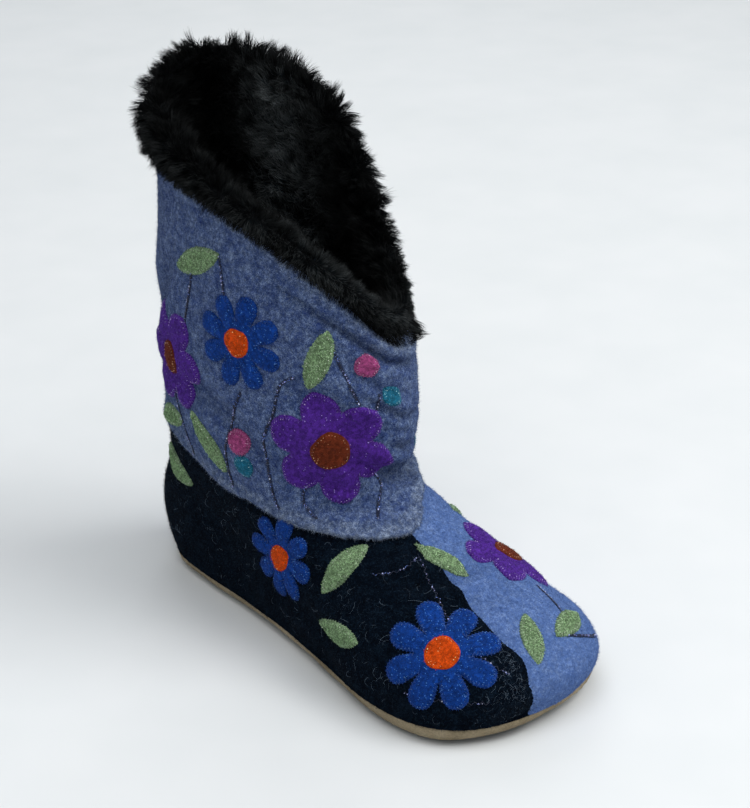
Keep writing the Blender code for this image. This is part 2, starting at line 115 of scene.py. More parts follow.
# The collar falls from its back to a V, by these shares of the whole, every 30 degrees from the front by the
# outer side. The V's middle stands a little to the outer side, whose edge is the steeper one.
VEE_SHARES = np.array((0.97, 1.0, 0.80, 0.27, 0.06, 0.0, 0.05, 0.18, 0.28, 0.39, 0.53, 0.74))

# The foot's cross-section: a round arch that stands on straight sides.
ARCH_FOOT_Z = 16.0
ARCH_POWER = 2.2

# The heights over which the foot's arch turns into the shaft.
SHAFT_STARTS_Z = {"behind": 8.0, "ahead": 40.0}
SHAFT_WHOLE_Z = 98.0
INSTEP_Y = (-45.0, 15.0)

# Round ends are read only this far out, where their slopes are still finite.
NEARLY_WHOLE = 0.995
# Slopes are read over this step of a level or a turn.
SLOPE_STEP = 0.01
# A place in a table of rows stays this far before the table's end.
BEFORE_END = 1.001
# This keeps roots and divisions off 0.
TINY = 1e-9


def smooth(value):
    """0 below 0, 1 above 1 and a smooth step between."""
    share = np.clip(value, 0.0, 1.0)
    return share * share * (3.0 - 2.0 * share)


def rising(value, start, end):
    """0 before start, 1 after end and a smooth step between."""
    return smooth((value - start) / (end - start))


def through(values, at):
    """The cubic through four values at STATIONS, taken at the given places."""
    total = 0.0
    for i, value in enumerate(values):
        term = value
        for j, station in enumerate(STATIONS):
            if j != i:
                term = term * (at - station) / (STATIONS[i] - station)
        total = total + term
    return total


def curve_through(before, here, there, after, share):
    """The smooth curve between two of four evenly spaced values."""
    return 0.5 * (
        2.0 * here
        + (there - before) * share
        + (2.0 * before - 5.0 * here + 4.0 * there - after) * share**2
        + (3.0 * here - before - 3.0 * there + after) * share**3
    )


def smooth_row(table, place):
    """A row of a table at a place between two of its rows, along a smooth curve."""
    last = len(table) - 1
    i = int(np.clip(place, 0, last - 1))
    near = (table[int(np.clip(i + k, 0, last))] for k in (-1, 0, 1, 2))
    return curve_through(*near, place - i)


def level_row(level):
    return Level(*smooth_row(LEVEL_TABLE, level))


def ellipse_share(place):
    """Half width of a round-ended outline of half width 1, at a place from -1 to 1."""
    return np.sqrt(np.maximum(1.0 - place**2, TINY))


SOLE_FULLNESS = np.array(list(SOLE_HALF_WIDTH.values())) / ellipse_share(STATIONS)

# The vamp's ridge from the toe to the instep, and its slope behind that.
RIDGE_LEVELS = np.linspace(LEVEL["toe_cap"], LEVEL["instep"], 25)
RIDGE = np.array([level_row(level)[:2] for level in RIDGE_LEVELS])
RIDGE_RISE = 3.0


def sole_half_width(y):
    place = np.clip(-y / SOLE_HALF_LENGTH, -NEARLY_WHOLE, NEARLY_WHOLE)
    return ellipse_share(place) * through(SOLE_FULLNESS, place)


def sole_bend(y):
    """How far the foot's middle line leaves x = 0."""
    return through(list(SOLE_BEND.values()), np.clip(-y / SOLE_HALF_LENGTH, -1.0, 1.0))


def ridge_z(y):
    """Height of the vamp's ridge. Behind the instep it runs on upwards, as the shaft's wall does."""
    return np.interp(y, RIDGE[:, 0], RIDGE[:, 1]) + np.maximum(y - RIDGE[-1, 0], 0.0) * RIDGE_RISE


def foot_half_width(y, z):
    """Half width of the foot's arch at a height."""
    rise = np.clip((z - ARCH_FOOT_Z) / (ridge_z(y) - ARCH_FOOT_Z), 0.0, NEARLY_WHOLE)
    return sole_half_width(y) * (1.0 - rise**ARCH_POWER) ** 0.5


def shaft_share(y, z):
    """How far the section is the shaft's, from 0 on the foot to 1 on the leg."""
    behind = rising(y, *INSTEP_Y)
    start = SHAFT_STARTS_Z["ahead"] + (SHAFT_STARTS_Z["behind"] - SHAFT_STARTS_Z["ahead"]) * behind
    return rising(z, start, SHAFT_WHOLE_Z)


def round_the_leg(values, turn):
    """A smooth closed curve through values that stand evenly round the leg from the front, at a turn."""
    place = np.asarray(turn) / math.tau * len(values)
    i = np.floor(place).astype(int)
    before, here, there, after = (values[(i + k) % len(values)] for k in (-1, 0, 1, 2))
    return curve_through(before, here, there, after, place - i)


def ring(level, turn):
    """Points of the felt's outer face at one level. turn is the angle from the front, +90 degrees at +X."""
    front_y, front_z, back_y, back_z, sag, vee, half = level_row(level)
    place = np.cos(turn)

    def height(where, at_turn):
        slope = (1.0 - vee) * (1.0 + where) / 2.0 + vee * round_the_leg(VEE_SHARES, at_turn)
        return back_z + (front_z - back_z) * slope - sag * (1.0 - where**2)

    def along(where):
        return (back_y + front_y) / 2.0 + where * (front_y - back_y) / 2.0

    station_y = along(STATIONS)
    station_z = height(STATIONS, np.arccos(STATIONS))
    leg = shaft_share(station_y, station_z)
    foot = foot_half_width(station_y, station_z) / ellipse_share(STATIONS)
    fullness = foot * (1.0 - leg) + half * leg

    y = along(place)
    z = height(place, turn)
    x = np.sin(turn) * through(fullness, place) + sole_bend(y) * (1.0 - shaft_share(y, z))
    return np.stack((x, y, z), axis=-1)


def turns(count):
    return np.arange(count) * math.tau / count


def unit(vectors):
    return vectors / np.maximum(np.linalg.norm(vectors, axis=-1, keepdims=True), TINY)


def outward(level, turn):
    """The felt's unit normals at one level."""
    above = min(level + SLOPE_STEP, LEVEL["collar"])
    below = max(level - SLOPE_STEP, LEVEL["feather"])
    up = ring(above, turn) - ring(below, turn)
    round_it = ring(level, turn + SLOPE_STEP) - ring(level, turn - SLOPE_STEP)
    return unit(np.cross(round_it, up))


def skin(level, offset, turn):
    """A ring moved off the felt's outer face along its normals."""
    return ring(level, turn) + outward(level, turn) * np.reshape(offset, (-1, 1))


def spot(level, turn):
    """A point of the felt's outer face, at a level and a turn in degrees."""
    step = HEM_STEP if level > LEVEL["hem"] else 0.0
    return skin(level, step, np.array([math.radians(turn)]))[0]


def runs(line):
    """The way from the point before to the point after each point of a closed line."""
    return np.roll(line, -1, axis=0) - np.roll(line, 1, axis=0)


def inward(line):
    """Unit vectors into a closed flat line, square to it."""
    run = runs(line)
    return unit(np.stack((-run[:, 1], run[:, 0]), axis=-1))


def round_length(line):
    """The length run round a closed line at each of its points."""
    return np.cumsum(np.linalg.norm(np.diff(line, axis=0, prepend=line[-1:]), axis=-1))


def even_path(points, step, least=2, closed=False):
    """Points at even steps along a line, or round a closed one, with at least so many of them."""
    line = np.concatenate((points, points[:1])) if closed else points
    length = np.concatenate(([0.0], np.cumsum(np.linalg.norm(np.diff(line, axis=0), axis=-1))))
    at = np.linspace(0.0, length[-1], max(int(length[-1] / step), least), endpoint=not closed)
    return np.stack([np.interp(at, length, column) for column in line.T], axis=-1)


def bell(distance, width):
    """1 at no distance, falling softly to 0 beyond a width."""
    return np.exp(-((distance / width) ** 2))


SEEDS = {"slack": 11, "fuzz": 21, "hairs": 23, "fur": 31, "shapes": 41, "lines": 43}
# The range that random phases are drawn from.
PHASES = (0.0, 6.28)


def chance(name):
    return np.random.default_rng(SEEDS[name])


# ---------- Meshes ----------


def mesh_object(name, points, faces, materials, face_slots=None, soft=True):
    """An object from points in millimetres and blocks of faces, each with one number of corners a face."""
    mesh = bpy.data.meshes.new(name)
    faces = [np.asarray(block) for block in faces if len(block)]
    corners = np.concatenate([block.reshape(-1) for block in faces])
    sizes = np.concatenate([np.full(len(block), block.shape[1]) for block in faces])
    starts = np.concatenate(([0], np.cumsum(sizes)[:-1]))
    mesh.vertices.add(len(points))
    mesh.vertices.foreach_set("co", ((points - MIDDLE) * MM).astype(np.float32).ravel())
    mesh.loops.add(len(corners))
    mesh.loops.foreach_set("vertex_index", corners.astype(np.int32))
    mesh.polygons.add(len(sizes))
    mesh.polygons.foreach_set("loop_start", starts.astype(np.int32))
    for material in materials:
        mesh.materials.append(material)
    if face_slots is not None:
        mesh.polygons.foreach_set("material_index", np.asarray(face_slots).astype(np.int32))
    mesh.update(calc_edges=True)
    if soft:
        mesh.shade_smooth()
    obj = bpy.data.objects.new(name, mesh)
    bpy.context.scene.collection.objects.link(obj)
    return obj


def mark(obj, name, values):
    """Gives each point of a mesh a number that its material reads."""
    attribute = obj.data.attributes.new(name, "FLOAT", "POINT")
    attribute.data.foreach_set("value", np.asarray(values).astype(np.float32).ravel())


def grid_faces(rows, columns, closed=False):
    """Four-sided faces of a grid whose rows go round. closed joins the last row to the first."""
    row = np.arange(rows if closed else rows - 1)[:, None] * columns
    column = np.arange(columns)[None, :]
    above = (row + columns) % (rows * columns)
    beside = (column + 1) % columns
    return np.stack((row + column, row + beside, above + beside, above + column), axis=-1).reshape(-1, 4)


def grid_normals(grid):
    """Unit normals of a grid of points whose rows go round."""
    round_it = np.roll(grid, -1, axis=1) - np.roll(grid, 1, axis=1)
    return unit(np.cross(round_it, np.gradient(grid, axis=0)))


def settle(obj, slot, *nodes):
    """Says what a piece rides on and stands for. slot is not used."""
    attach(obj, "root")
    if nodes:
        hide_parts(*nodes)


# ---------- Materials ----------

# The noise patterns: waves a metre, detail, roughness and distortion.
Pattern = namedtuple("Pattern", ("scale", "detail", "roughness", "distortion"), defaults=(3.0, 0.6, 0.0))
PATTERNS = {
    "curls": Pattern(880.0, 4.0, 0.75, 2.4),
    "foot_curls": Pattern(1150.0, 4.0, 0.75, 0.9),
    "drifts": Pattern(200.0, 3.0, 0.6, 0.5),
    "clumps": Pattern(560.0),
    "fibres": Pattern(1400.0, 3.0, 0.7, 1.2),
    "lumps": Pattern(330.0),
    "border": Pattern(900.0),
    "strands": Pattern(2600.0, 2.0, 0.8),
    "locks": Pattern(140.0),
    "tufts": Pattern(420.0, 4.0, 0.7),
    "grain": Pattern(1000.0, 4.0, 0.65, 0.6),
    "stains": Pattern(60.0, 4.0),
    "wrinkles": Pattern(190.0, 3.0, 0.6, 0.8),
    "floor": Pattern(14.0, 2.0),
}
# How strongly some of them stand in relief, and how deep in metres.
RELIEF = {
    "lumps": (0.64, 0.0016),
    "fibres": (0.8, 0.0008),
    "strands": (0.4, 0.0003),
    "tufts": (0.9, 0.002),
    "wrinkles": (0.45, 0.0014),
    "grain": (0.35, 0.0005),
}
# The factors on a material's colour at places along a pattern or an attribute.
SHADES = {
    "clumps": ((0.36, 0.66), (0.64, 1.30)),
    "foot_clumps": ((0.36, 0.80), (0.64, 1.18)),
    # the felt is painted darker in its creases, a painted shade
    "crease": ((0.0, 1.0), (1.0, 0.36)),
    "strands": ((0.35, 0.6), (0.65, 1.4)),
    "glints": ((0.0, 0.35), (0.5, 1.0), (1.0, 1.6)),
    "locks": ((0.34, 0.45), (0.66, 1.6)),
    "tufts": ((0.35, 0.4), (0.7, 1.6)),
    "grain": ((0.3, 0.70), (0.65, 1.12)),
    "height": ((0.0, 0.30), (0.10, 0.42), (0.24, 1.0)),
}
# Where on the curls the wool turns from dark over its base to pale, and how far the drifts shift that.
HEATHER_AT = (0.37, 0.47, 0.52, 0.62)
DRIFTS_SHIFT = 0.42
# Where on a fibre's tone the wool is dark, base and pale, and the share of the dark that it keeps.
TONES_AT = (0.0, 0.45, 0.85)
TONE_DARK = 0.6
# The black half's border wanders over this width, in millimetres.
BORDER_WIDTH = 1.6
# A plain wool's dark and pale, as shares away from its base.
CONTRAST = 0.38
PALE_CONTRAST = 1.2
# How white a felt's bloom is at least.
BLOOM = 0.35
SHEEN_ROUGHNESS = 0.4


class Nodes:
    """A material's node tree, with a short way to add and join its nodes."""

    def __init__(self, name):
        self.material = bpy.data.materials.new(name)
        self.material.use_nodes = True
        self.tree = self.material.node_tree
        self.place = self.add("ShaderNodeTexCoord").outputs["Object"]

    def put(self, node, inputs):
        """Joins each input of a node to a socket, or gives it a number or a colour."""
        for key, value in inputs.items():
            if isinstance(value, bpy.types.NodeSocket):
                self.tree.links.new(value, node.inputs[key])
            else:
                node.inputs[key].default_value = (*value, 1.0) if np.shape(value) else value

    def add(self, kind, inputs=None, **settings):
        node = self.tree.nodes.new(kind)
        for name, value in settings.items():
            setattr(node, name, value)
        self.put(node, inputs or {})
        return node

    def noise(self, name):
        pattern = PATTERNS[name]
        inputs = {key.capitalize(): value for key, value in pattern._asdict().items()}
        return self.add("ShaderNodeTexNoise", {"Vector": self.place, **inputs}).outputs["Fac"]

    def swing(self, name, width):
        """A noise pattern that swings by a width about 0."""
        return self.maths("MULTIPLY", self.maths("SUBTRACT", self.noise(name), 0.5), width)

    def ramp(self, value, stops):
        node = self.add("ShaderNodeValToRGB", {"Fac": value})
        elements = node.color_ramp.elements
        while len(elements) < len(stops):
            elements.new(0.5)
        for element, (at, colour) in zip(elements, stops):
            element.position = at
            element.color = (*np.broadcast_to(colour, 3), 1.0)
        return node.outputs["Color"]

    def mix(self, share, first, second, blend="MIX"):
        inputs = {0: share, 6: first, 7: second}
        return self.add("ShaderNodeMix", inputs, data_type="RGBA", blend_type=blend).outputs[2]

    def times(self, colour, factor):
        return self.mix(1.0, colour, factor, "MULTIPLY")

    def maths(self, operation, first, second):
        return self.add("ShaderNodeMath", {0: first, 1: second}, operation=operation).outputs["Value"]

    def attribute(self, name):
        return self.add("ShaderNodeAttribute", attribute_name=name).outputs["Fac"]

    def shaded(self, colour, value, name):
        """A colour made deeper or paler along a value, as SHADES says."""
        return self.times(colour, self.ramp(value, SHADES[name]))

    def relief(self, name, under=None):
        strength, distance = RELIEF[name]
        inputs = {"Height": self.noise(name), "Strength": strength, "Distance": distance}
        if under is not None:
            inputs["Normal"] = under
        return self.add("ShaderNodeBump", inputs).outputs["Normal"]

    def finish(self, colour, normal=None, roughness=0.9, specular=0.2, sheen=0.0, sheen_tint=(1.0, 1.0, 1.0)):
        inputs = {
            "Base Color": colour,
            "Roughness": roughness,
            "Specular IOR Level": specular,
            "Sheen Weight": sheen,
            "Sheen Roughness": SHEEN_ROUGHNESS,
            "Sheen Tint": sheen_tint,
        }
        if normal is not None:
            inputs["Normal"] = normal
        self.put(self.tree.nodes["Principled BSDF"], inputs)
        return self.material


def shade(colour, factor):
    return tuple(min(channel * factor, 1.0) for channel in colour)


Wool = namedtuple("Wool", ("dark", "base", "pale"))
SHAFT_WOOL = Wool((0.015, 0.031, 0.135), (0.053, 0.088, 0.210), (0.205, 0.275, 0.430))
# A paler wool, mixed into the shaft's felt along the hem and along the fur, and the colour of the fibres
# there: partly the raw edge's own paler fibres, partly a painted highlight on the rounded edge.
HEM_WOOL_AND_HIGHLIGHT = Wool((0.030, 0.052, 0.140), (0.108, 0.152, 0.252), (0.34, 0.40, 0.49))
FOOT_BLUE = Wool((0.066, 0.126, 0.330), (0.094, 0.168, 0.395), (0.170, 0.260, 0.500))
FOOT_BLACK = Wool((0.0006, 0.0015, 0.0036), (0.0012, 0.0036, 0.0085), (0.0050, 0.0120, 0.0230))
BLACK_FUZZ = Wool((0.0006, 0.0016, 0.0040), (0.0016, 0.0052, 0.0110), (0.020, 0.036, 0.056))
FOOT_BLOOM = (0.6, 0.7, 1.0)
# The pile runs from its root colour to its tip colour: the roots are painted darker, a painted shade down in
# the pile.
FUR_ROOT = (0.0018, 0.0035, 0.0046)
FUR_TIP = (0.039, 0.043, 0.044)
FUR_BACKING = (0.0012, 0.0018, 0.0024)
TANS = ((0.30, (0.190, 0.150, 0.090)), (0.52, (0.290, 0.235, 0.150)), (0.75, (0.38, 0.32, 0.22)))


def shades(colour, name):
    return [(at, shade(colour, share)) for at, share in SHADES[name]]


def plain_wool(base):
    return Wool(shade(base, 1.0 - CONTRAST), base, shade(base, 1.0 + CONTRAST * PALE_CONTRAST))


def heather(nodes, wool, curls="curls", clumps="clumps"):
    """Mixed fibres: curls about a millimetre across, and slow drifts from pale to dark wool."""
    shifted = nodes.maths("ADD", nodes.noise(curls), nodes.swing("drifts", DRIFTS_SHIFT))
    stops = list(zip(HEATHER_AT, (wool.dark, wool.base, wool.base, wool.pale)))
    return nodes.shaded(nodes.ramp(shifted, stops), nodes.noise("clumps"), clumps)


def with_painted_crease_shade(nodes, colour):
    """A colour darkened by painted shade in the felt's creases."""
    return nodes.shaded(colour, nodes.attribute("crease"), "crease")


def bloom(base):
    """The pale tint of a felt's loose fibres."""
    return tuple(BLOOM + (1.0 - BLOOM) * channel / max(base) for channel in base)


def felt_finish(nodes, colour, tint, sheen=0.10, specular=0.08):
    """Felt in a colour, with its lumps and fibres in relief."""
    relief = nodes.relief("fibres", nodes.relief("lumps"))
    return nodes.finish(colour, relief, roughness=0.97, specular=specular, sheen=sheen, sheen_tint=tint)


def sparkle(nodes, share, scale=1500.0, reach=0.30):
    """1 on a scatter of tiny dots and 0 elsewhere."""
    dots = nodes.add("ShaderNodeTexVoronoi", {"Vector": nodes.place, "Scale": scale})
    chosen = nodes.add("ShaderNodeSeparateColor", {"Color": dots.outputs["Color"]})
    near = nodes.maths("LESS_THAN", dots.outputs["Distance"], reach)
    return nodes.maths("MULTIPLY", near, nodes.maths("LESS_THAN", chosen.outputs["Red"], share))


def shape_felt_material(name, wool, specks, speck_colour):
    """A sewn shape's felt, with glints of a fine bright thread."""
    nodes = Nodes(name)
    colour = nodes.mix(sparkle(nodes, specks), heather(nodes, wool), speck_colour)
    return felt_finish(nodes, colour, bloom(wool.base))


def shaft_felt_material():
    """The shaft's felt, paler along its raw hem and along the fur's edge, partly the raw edge's own paler
    fibres and partly a painted highlight on the rounded edge, with painted shade in its creases.
    """
    nodes = Nodes("shaft_felt")
    colour = nodes.mix(nodes.attribute("raw_edge_and_highlight"), heather(nodes, SHAFT_WOOL), heather(nodes, HEM_WOOL_AND_HIGHLIGHT))
    return felt_finish(nodes, with_painted_crease_shade(nodes, colour), bloom(SHAFT_WOOL.base))


def black_side(nodes):
    """1 on the foot's black half and 0 on its blue one, with a slightly ragged border."""
    side = nodes.maths("ADD", nodes.attribute("dark_side"), nodes.swing("border", BORDER_WIDTH))
    return nodes.maths("GREATER_THAN", side, 0.0)


def foot_felt_material():
    """The foot's felt: black on the inner half and blue on the outer, with painted shade in its creases."""
    nodes = Nodes("foot_felt")
    blue, black = (heather(nodes, wool, "foot_curls", "foot_clumps") for wool in (FOOT_BLUE, FOOT_BLACK))
    colour = with_painted_crease_shade(nodes, nodes.mix(black_side(nodes), blue, black))
    return felt_finish(nodes, colour, FOOT_BLOOM, sheen=0.01, specular=0.03)


def fuzz_colour(nodes, wool):
    """One fibre's colour, by its tone from 0, dark, to 1, pale."""
    stops = list(zip(TONES_AT, (shade(wool.dark, TONE_DARK), wool.base, wool.pale)))
    return nodes.ramp(nodes.attribute("tone"), stops)


def fuzz_material(name, wool):
    nodes = Nodes(name)
    return nodes.finish(fuzz_colour(nodes, wool), specular=0.08)


def shaft_fuzz_material():
    nodes = Nodes("shaft_fuzz")
    # The fibres take the felt's painted shade in its creases.
    return nodes.finish(with_painted_crease_shade(nodes, fuzz_colour(nodes, SHAFT_WOOL)), specular=0.08)


def foot_fuzz_material():
    nodes = Nodes("foot_fuzz")
    colour = nodes.mix(black_side(nodes), fuzz_colour(nodes, FOOT_BLUE), fuzz_colour(nodes, BLACK_FUZZ))
    # The fibres take the felt's painted shade in its creases.
    return nodes.finish(with_painted_crease_shade(nodes, colour), specular=0.04)


def thread_material(name, base, light, glints=0.25):
    """A twisted thread with glints of metallic fibre along it."""
    nodes = Nodes(name)
    colour = nodes.ramp(nodes.noise("strands"), shades(base, "strands"))
    colour = nodes.mix(sparkle(nodes, glints, scale=1300.0, reach=0.42), colour, light)
    return nodes.finish(colour, nodes.relief("strands"), roughness=0.40, specular=0.5)


def glint_material(name, light):
    """Bright flakes on a glitter thread, each of its own brightness."""
    nodes = Nodes(name)
    colour = nodes.ramp(nodes.attribute("tone"), shades(light, "glints"))
    return nodes.finish(colour, roughness=0.30, specular=0.8)


def fur_material():
    """Black pile, painted darker at its roots as painted shade in the pile. light is the painted light on its
    tips.
    """
    nodes = Nodes("fur_pile")
    colour = nodes.ramp(nodes.attribute("along"), ((0.25, FUR_ROOT), (1.0, FUR_TIP)))
    colour = nodes.times(nodes.shaded(colour, nodes.noise("locks"), "locks"), nodes.attribute("light"))
    return nodes.finish(colour, roughness=0.75, specular=0.06)


def backing_material():
    nodes = Nodes("pile_backing")
    colour = nodes.ramp(nodes.noise("tufts"), shades(FUR_BACKING, "tufts"))
    return nodes.finish(colour, nodes.relief("tufts"), roughness=0.95, specular=0.1)


def leather_material():
    """Soft tan leather, darker along its lower edge."""
    nodes = Nodes("tan_leather")
    colour = nodes.shaded(nodes.ramp(nodes.noise("stains"), TANS), nodes.noise("grain"), "grain")
    colour = nodes.shaded(colour, nodes.attribute("height"), "height")
    return nodes.finish(colour, nodes.relief("wrinkles", nodes.relief("grain")), roughness=0.85)


# ---------- The felt upper ----------

# Folds in the felt: depth and width of the trough, lip, the rise of the soft ridges on both sides of it, and
# the shade painted in it: how far the felt is painted darker along the trough. Each runs through points given
# as a level and a turn in degrees.
Fold = namedtuple("Fold", ("depth", "width", "lip", "shadow", "path"))
FOLDS = {
    "below_fur": Fold(
        2.4, 1.9, 1.7, 0.85, ((10.5, -66), (10.45, -46), (10.4, -28), (10.36, -14), (10.3, 8), (10.2, 20))
    ),
    "front_nick": Fold(1.6, 2.0, 1.2, 0.45, ((9.84, -26), (9.72, -10), (9.58, 2), (9.5, 15), (9.5, 30))),
    "collar_slack": Fold(1.4, 2.6, 0.9, 0.25, ((10.1, -34), (10.02, -20), (9.95, -4), (9.9, 14))),
    "instep_tuck": Fold(
        3.2, 4.0, 1.9, 0.55, ((9.0, -38), (8.75, -20), (8.5, -5), (8.15, 10), (7.95, 24), (8.1, 42))
    ),
    "instep_short": Fold(2.0, 2.4, 1.2, 0.50, ((9.15, -8), (8.95, 8), (8.9, 26))),
    "hem_slack": Fold(1.4, 3.2, 0.9, 0.20, ((7.5, -52), (7.55, -34), (7.5, -18), (7.35, -4))),
    "ankle_inner": Fold(2.8, 6.0, 1.2, 0.30, ((8.3, -62), (8.8, -80), (9.0, -100), (8.7, -122))),
    "ankle_outer": Fold(2.8, 5.5, 1.3, 0.35, ((8.2, 52), (8.8, 74), (8.9, 98), (8.6, 124))),
    "shin_slack": Fold(2.2, 6.0, 1.0, 0.25, ((9.1, -20), (9.5, -38), (9.7, -58))),
    "calf_slack": Fold(2.2, 6.5, 1.0, 0.25, ((10.2, -118), (9.6, -134), (9.2, -150))),
    "calf_outer": Fold(2.2, 6.5, 1.0, 0.25, ((10.3, 100), (9.7, 120), (9.2, 138))),
    "heel_hollow": Fold(2.0, 7.0, 0.9, 0.25, ((7.4, -150), (7.2, 180), (7.4, 150))),
    "vamp_flex": Fold(1.4, 4.5, 0.9, 0.25, ((5.7, -42), (5.5, -18), (5.5, 10), (5.8, 40))),
    "vamp_low_flex": Fold(1.0, 5.0, 0.6, 0.15, ((4.9, -30), (4.8, -5), (4.9, 26))),
    "rand_inner": Fold(1.0, 4.0, 0.5, 0.10, ((1.6, -60), (1.9, -84), (1.8, -110))),
    "back_seam": Fold(0.9, 0.9, 0.5, 0.60, ((10.95, 180), (9.5, 180), (8.0, 180), (7.1, 180))),
    "heel_seam": Fold(0.8, 0.8, 0.4, 0.50, ((6.9, 180), (5.0, 180), (3.0, 180), (1.0, 180))),
}
FOLD_SAMPLES = 14
# A fold fades towards its ends, as a power of a sine over this part of its length.
FOLD_PART = (0.02, 0.98)
FOLD_FADE = 0.7
# A fold's ridges stand this many of its widths away from its middle.
RIDGES_AWAY = 2.1
# No fold goes deeper than this, which is less than the felt's thickness.
DEEPEST_FOLD = 2.3
# The felt's cut edge stands up along the fur, in a soft roll.
COLLAR_ROLL = 1.7
COLLAR_ROLL_BELOW = 2.6
COLLAR_ROLL_WIDTH = 2.9
# Near this edge the felt is painted paler: partly its raw edge's paler fibres, partly a painted highlight on
# the roll.
COLLAR_RAW_AND_HIGHLIGHT = 0.75
COLLAR_RAW_AND_HIGHLIGHT_WIDTH = 4.2

# The seam between the foot's black and blue halves, as turns in degrees at levels from the sole to the hem.
SEAM_LEVELS = (0.0, 1.0, 2.1, 3.1, 4.1, 4.9, 5.8, 6.7, 7.2)
SEAM_TURNS = (-10.0, -12.0, -14.0, -13.0, -11.5, -11.0, -9.0, -6.0, -5.0)
SEAM_DEPTH = 0.55
SEAM_WIDTH = 0.8
NO_SEAM = 1000.0

# Slack in the felt, as waves of these lengths, and the puckers along the sole, which fade over so many rows.
SLACK_LENGTHS = (27.0, 34.0, 43.0, 58.0, 75.0)
SLACK_DEPTH = 0.22
PUCKER_LENGTH = 5.2
PUCKER_DEPTH = 0.35
PUCKER_ROWS = 9.0
# The folds reach their whole depth so many rows above the sole.
CALM_ROWS = 6.0

FELT_COLUMNS = 360 if FINE == 1.0 else 200


def on_skin(path):
    """Points on the felt's outer face along a path of levels and turns, smoothly from one to the next."""
    path = np.array(path)
    jumps = np.diff(path[:, 1])
    path[1:, 1] = path[0, 1] + np.cumsum((jumps + 180.0) % 360.0 - 180.0)
    places = np.linspace(0.0, len(path) - 1.0, (len(path) - 1) * FOLD_SAMPLES + 1)
    return np.array([spot(*smooth_row(path, place)) for place in places])


def distance_along(points, line):
    """Each point's distance to the nearest sample of a line, and that sample's share of the line."""
    best = np.full(len(points), 1e9, dtype=np.float32)
    share = np.zeros(len(points), dtype=np.float32)
    for i, sample in enumerate(line):
        distance = np.linalg.norm(points - sample, axis=-1)
        nearer = distance < best
        best[nearer] = distance[nearer]
        share[nearer] = i / (len(line) - 1.0)
    return best, share


def slack(points):
    """A gentle unevenness, as a sum of long waves in fixed directions."""
    rng = chance("slack")
    total = np.zeros(len(points))
    for length in SLACK_LENGTHS:
        for _ in range(2):
            way = unit(rng.normal(size=3))
            total += np.sin(points @ way * (math.tau / length) + rng.uniform(0.0, math.tau))
    return total * SLACK_DEPTH


def relief(points):
    """How far each point of the felt's outer face moves along its normal, for folds and slack.

    Also the painted shade in its creases, and how near it is to the edge that is cut along the fur, where the
    felt is painted paler: partly the raw edge's paler fibres, partly a painted highlight on the roll.
    """
    points = points.astype(np.float32)
    total = slack(points)
    crease = np.zeros(len(points))
    for fold in FOLDS.values():
        distance, share = distance_along(points, on_skin(fold.path))
        ends = np.sin(np.clip(share, *FOLD_PART) * math.pi) ** FOLD_FADE
        trough = bell(distance, fold.width)
        ridges = bell(distance - RIDGES_AWAY * fold.width, fold.width)
        total += (fold.lip * ridges - fold.depth * trough) * ends
        # The fold's trough is painted darker, a painted shade.
        crease = np.maximum(crease, fold.shadow * trough * ends)
    for path in STEMS:
        distance, _ = distance_along(points, even_path(on_skin(path), STEM_WIDTH / 2.0))
        total -= STEM_SINK * bell(distance, STEM_WIDTH)
    total = np.maximum(total, -DEEPEST_FOLD)
    distance, _ = distance_along(points, fur_edge())
    total += COLLAR_ROLL * bell(distance - COLLAR_ROLL_BELOW, COLLAR_ROLL_WIDTH)
    return total, crease, COLLAR_RAW_AND_HIGHLIGHT * bell(distance, COLLAR_RAW_AND_HIGHLIGHT_WIDTH)


def dark_side(level, turn, row):
    """Distance in millimetres into the black half of the foot, below 0 on the blue half."""
    seam = np.radians(np.interp(level, SEAM_LEVELS, SEAM_TURNS))
    wrapped = (turn + math.pi) % math.tau - math.pi
    reach = np.linalg.norm(runs(row), axis=-1) / (2.0 * (turn[1] - turn[0]))
    past_front = (seam - wrapped) * reach
    past_back = (wrapped + math.pi) * reach
    from_back = (wrapped - math.pi) * reach
    return np.where(wrapped < seam, np.minimum(past_front, past_back), np.maximum(past_front, from_back))


# The hem's edge, as steps down the felt from the hem and out from the foot's face.
HEM_EDGE = (
    (-1.2, 0.0), (-1.0, 0.35), (0.9, 0.40), (1.6, 0.8), (1.95, 1.5),
    (1.8, 2.4), (1.1, 3.1), (0.0, 3.3), (-1.6, 3.05), (-4.0, 2.5),
)
# The hem's level every 30 degrees round the leg from the front by the outer side. It dips over the inner side
# of the instep and rises over its outer side.
HEM_LEVELS = np.array((6.80, 7.70, 7.38, 7.05, 7.0, 7.0, 7.0, 7.0, 7.0, 7.0, 6.86, 6.72))
# It is cut unevenly, in so many waves round the leg, each with its phase.
HEM_RAGGED = 0.45
HEM_WAVES = ((23.0, 0.0), (41.0, 1.0), (67.0, 2.0), (9.0, 0.0))
# The foot's rows stop so far under the hem, and the shaft's start so far over it, in levels.
HEM_UNDER = 0.24
HEM_LAP = 0.36
# Over a few rows above the hem the shaft is painted paler: partly the raw edge's paler fibres, partly a
# painted highlight on the rounded hem.
RAW_EDGE_AND_HIGHLIGHT = 0.65
RAW_EDGE_AND_HIGHLIGHT_ROWS = 1.8
SOLE_EDGE = ((0.4, -0.9), (0.7, -0.3), (0.7, 0.2), (0.4, 0.5), (0.1, 0.45))
FOOT_ROWS = 70
SHAFT_ROWS = 88
WALL_STEP = 0.05
INNER_LEVELS = (11.0, 10.5, 10.0, 9.5, 9.0, 8.5, 8.0, 7.5, 7.0, 6.0, 5.0, 4.0, 3.0, 2.0, 1.0, 0.5, 0.0)


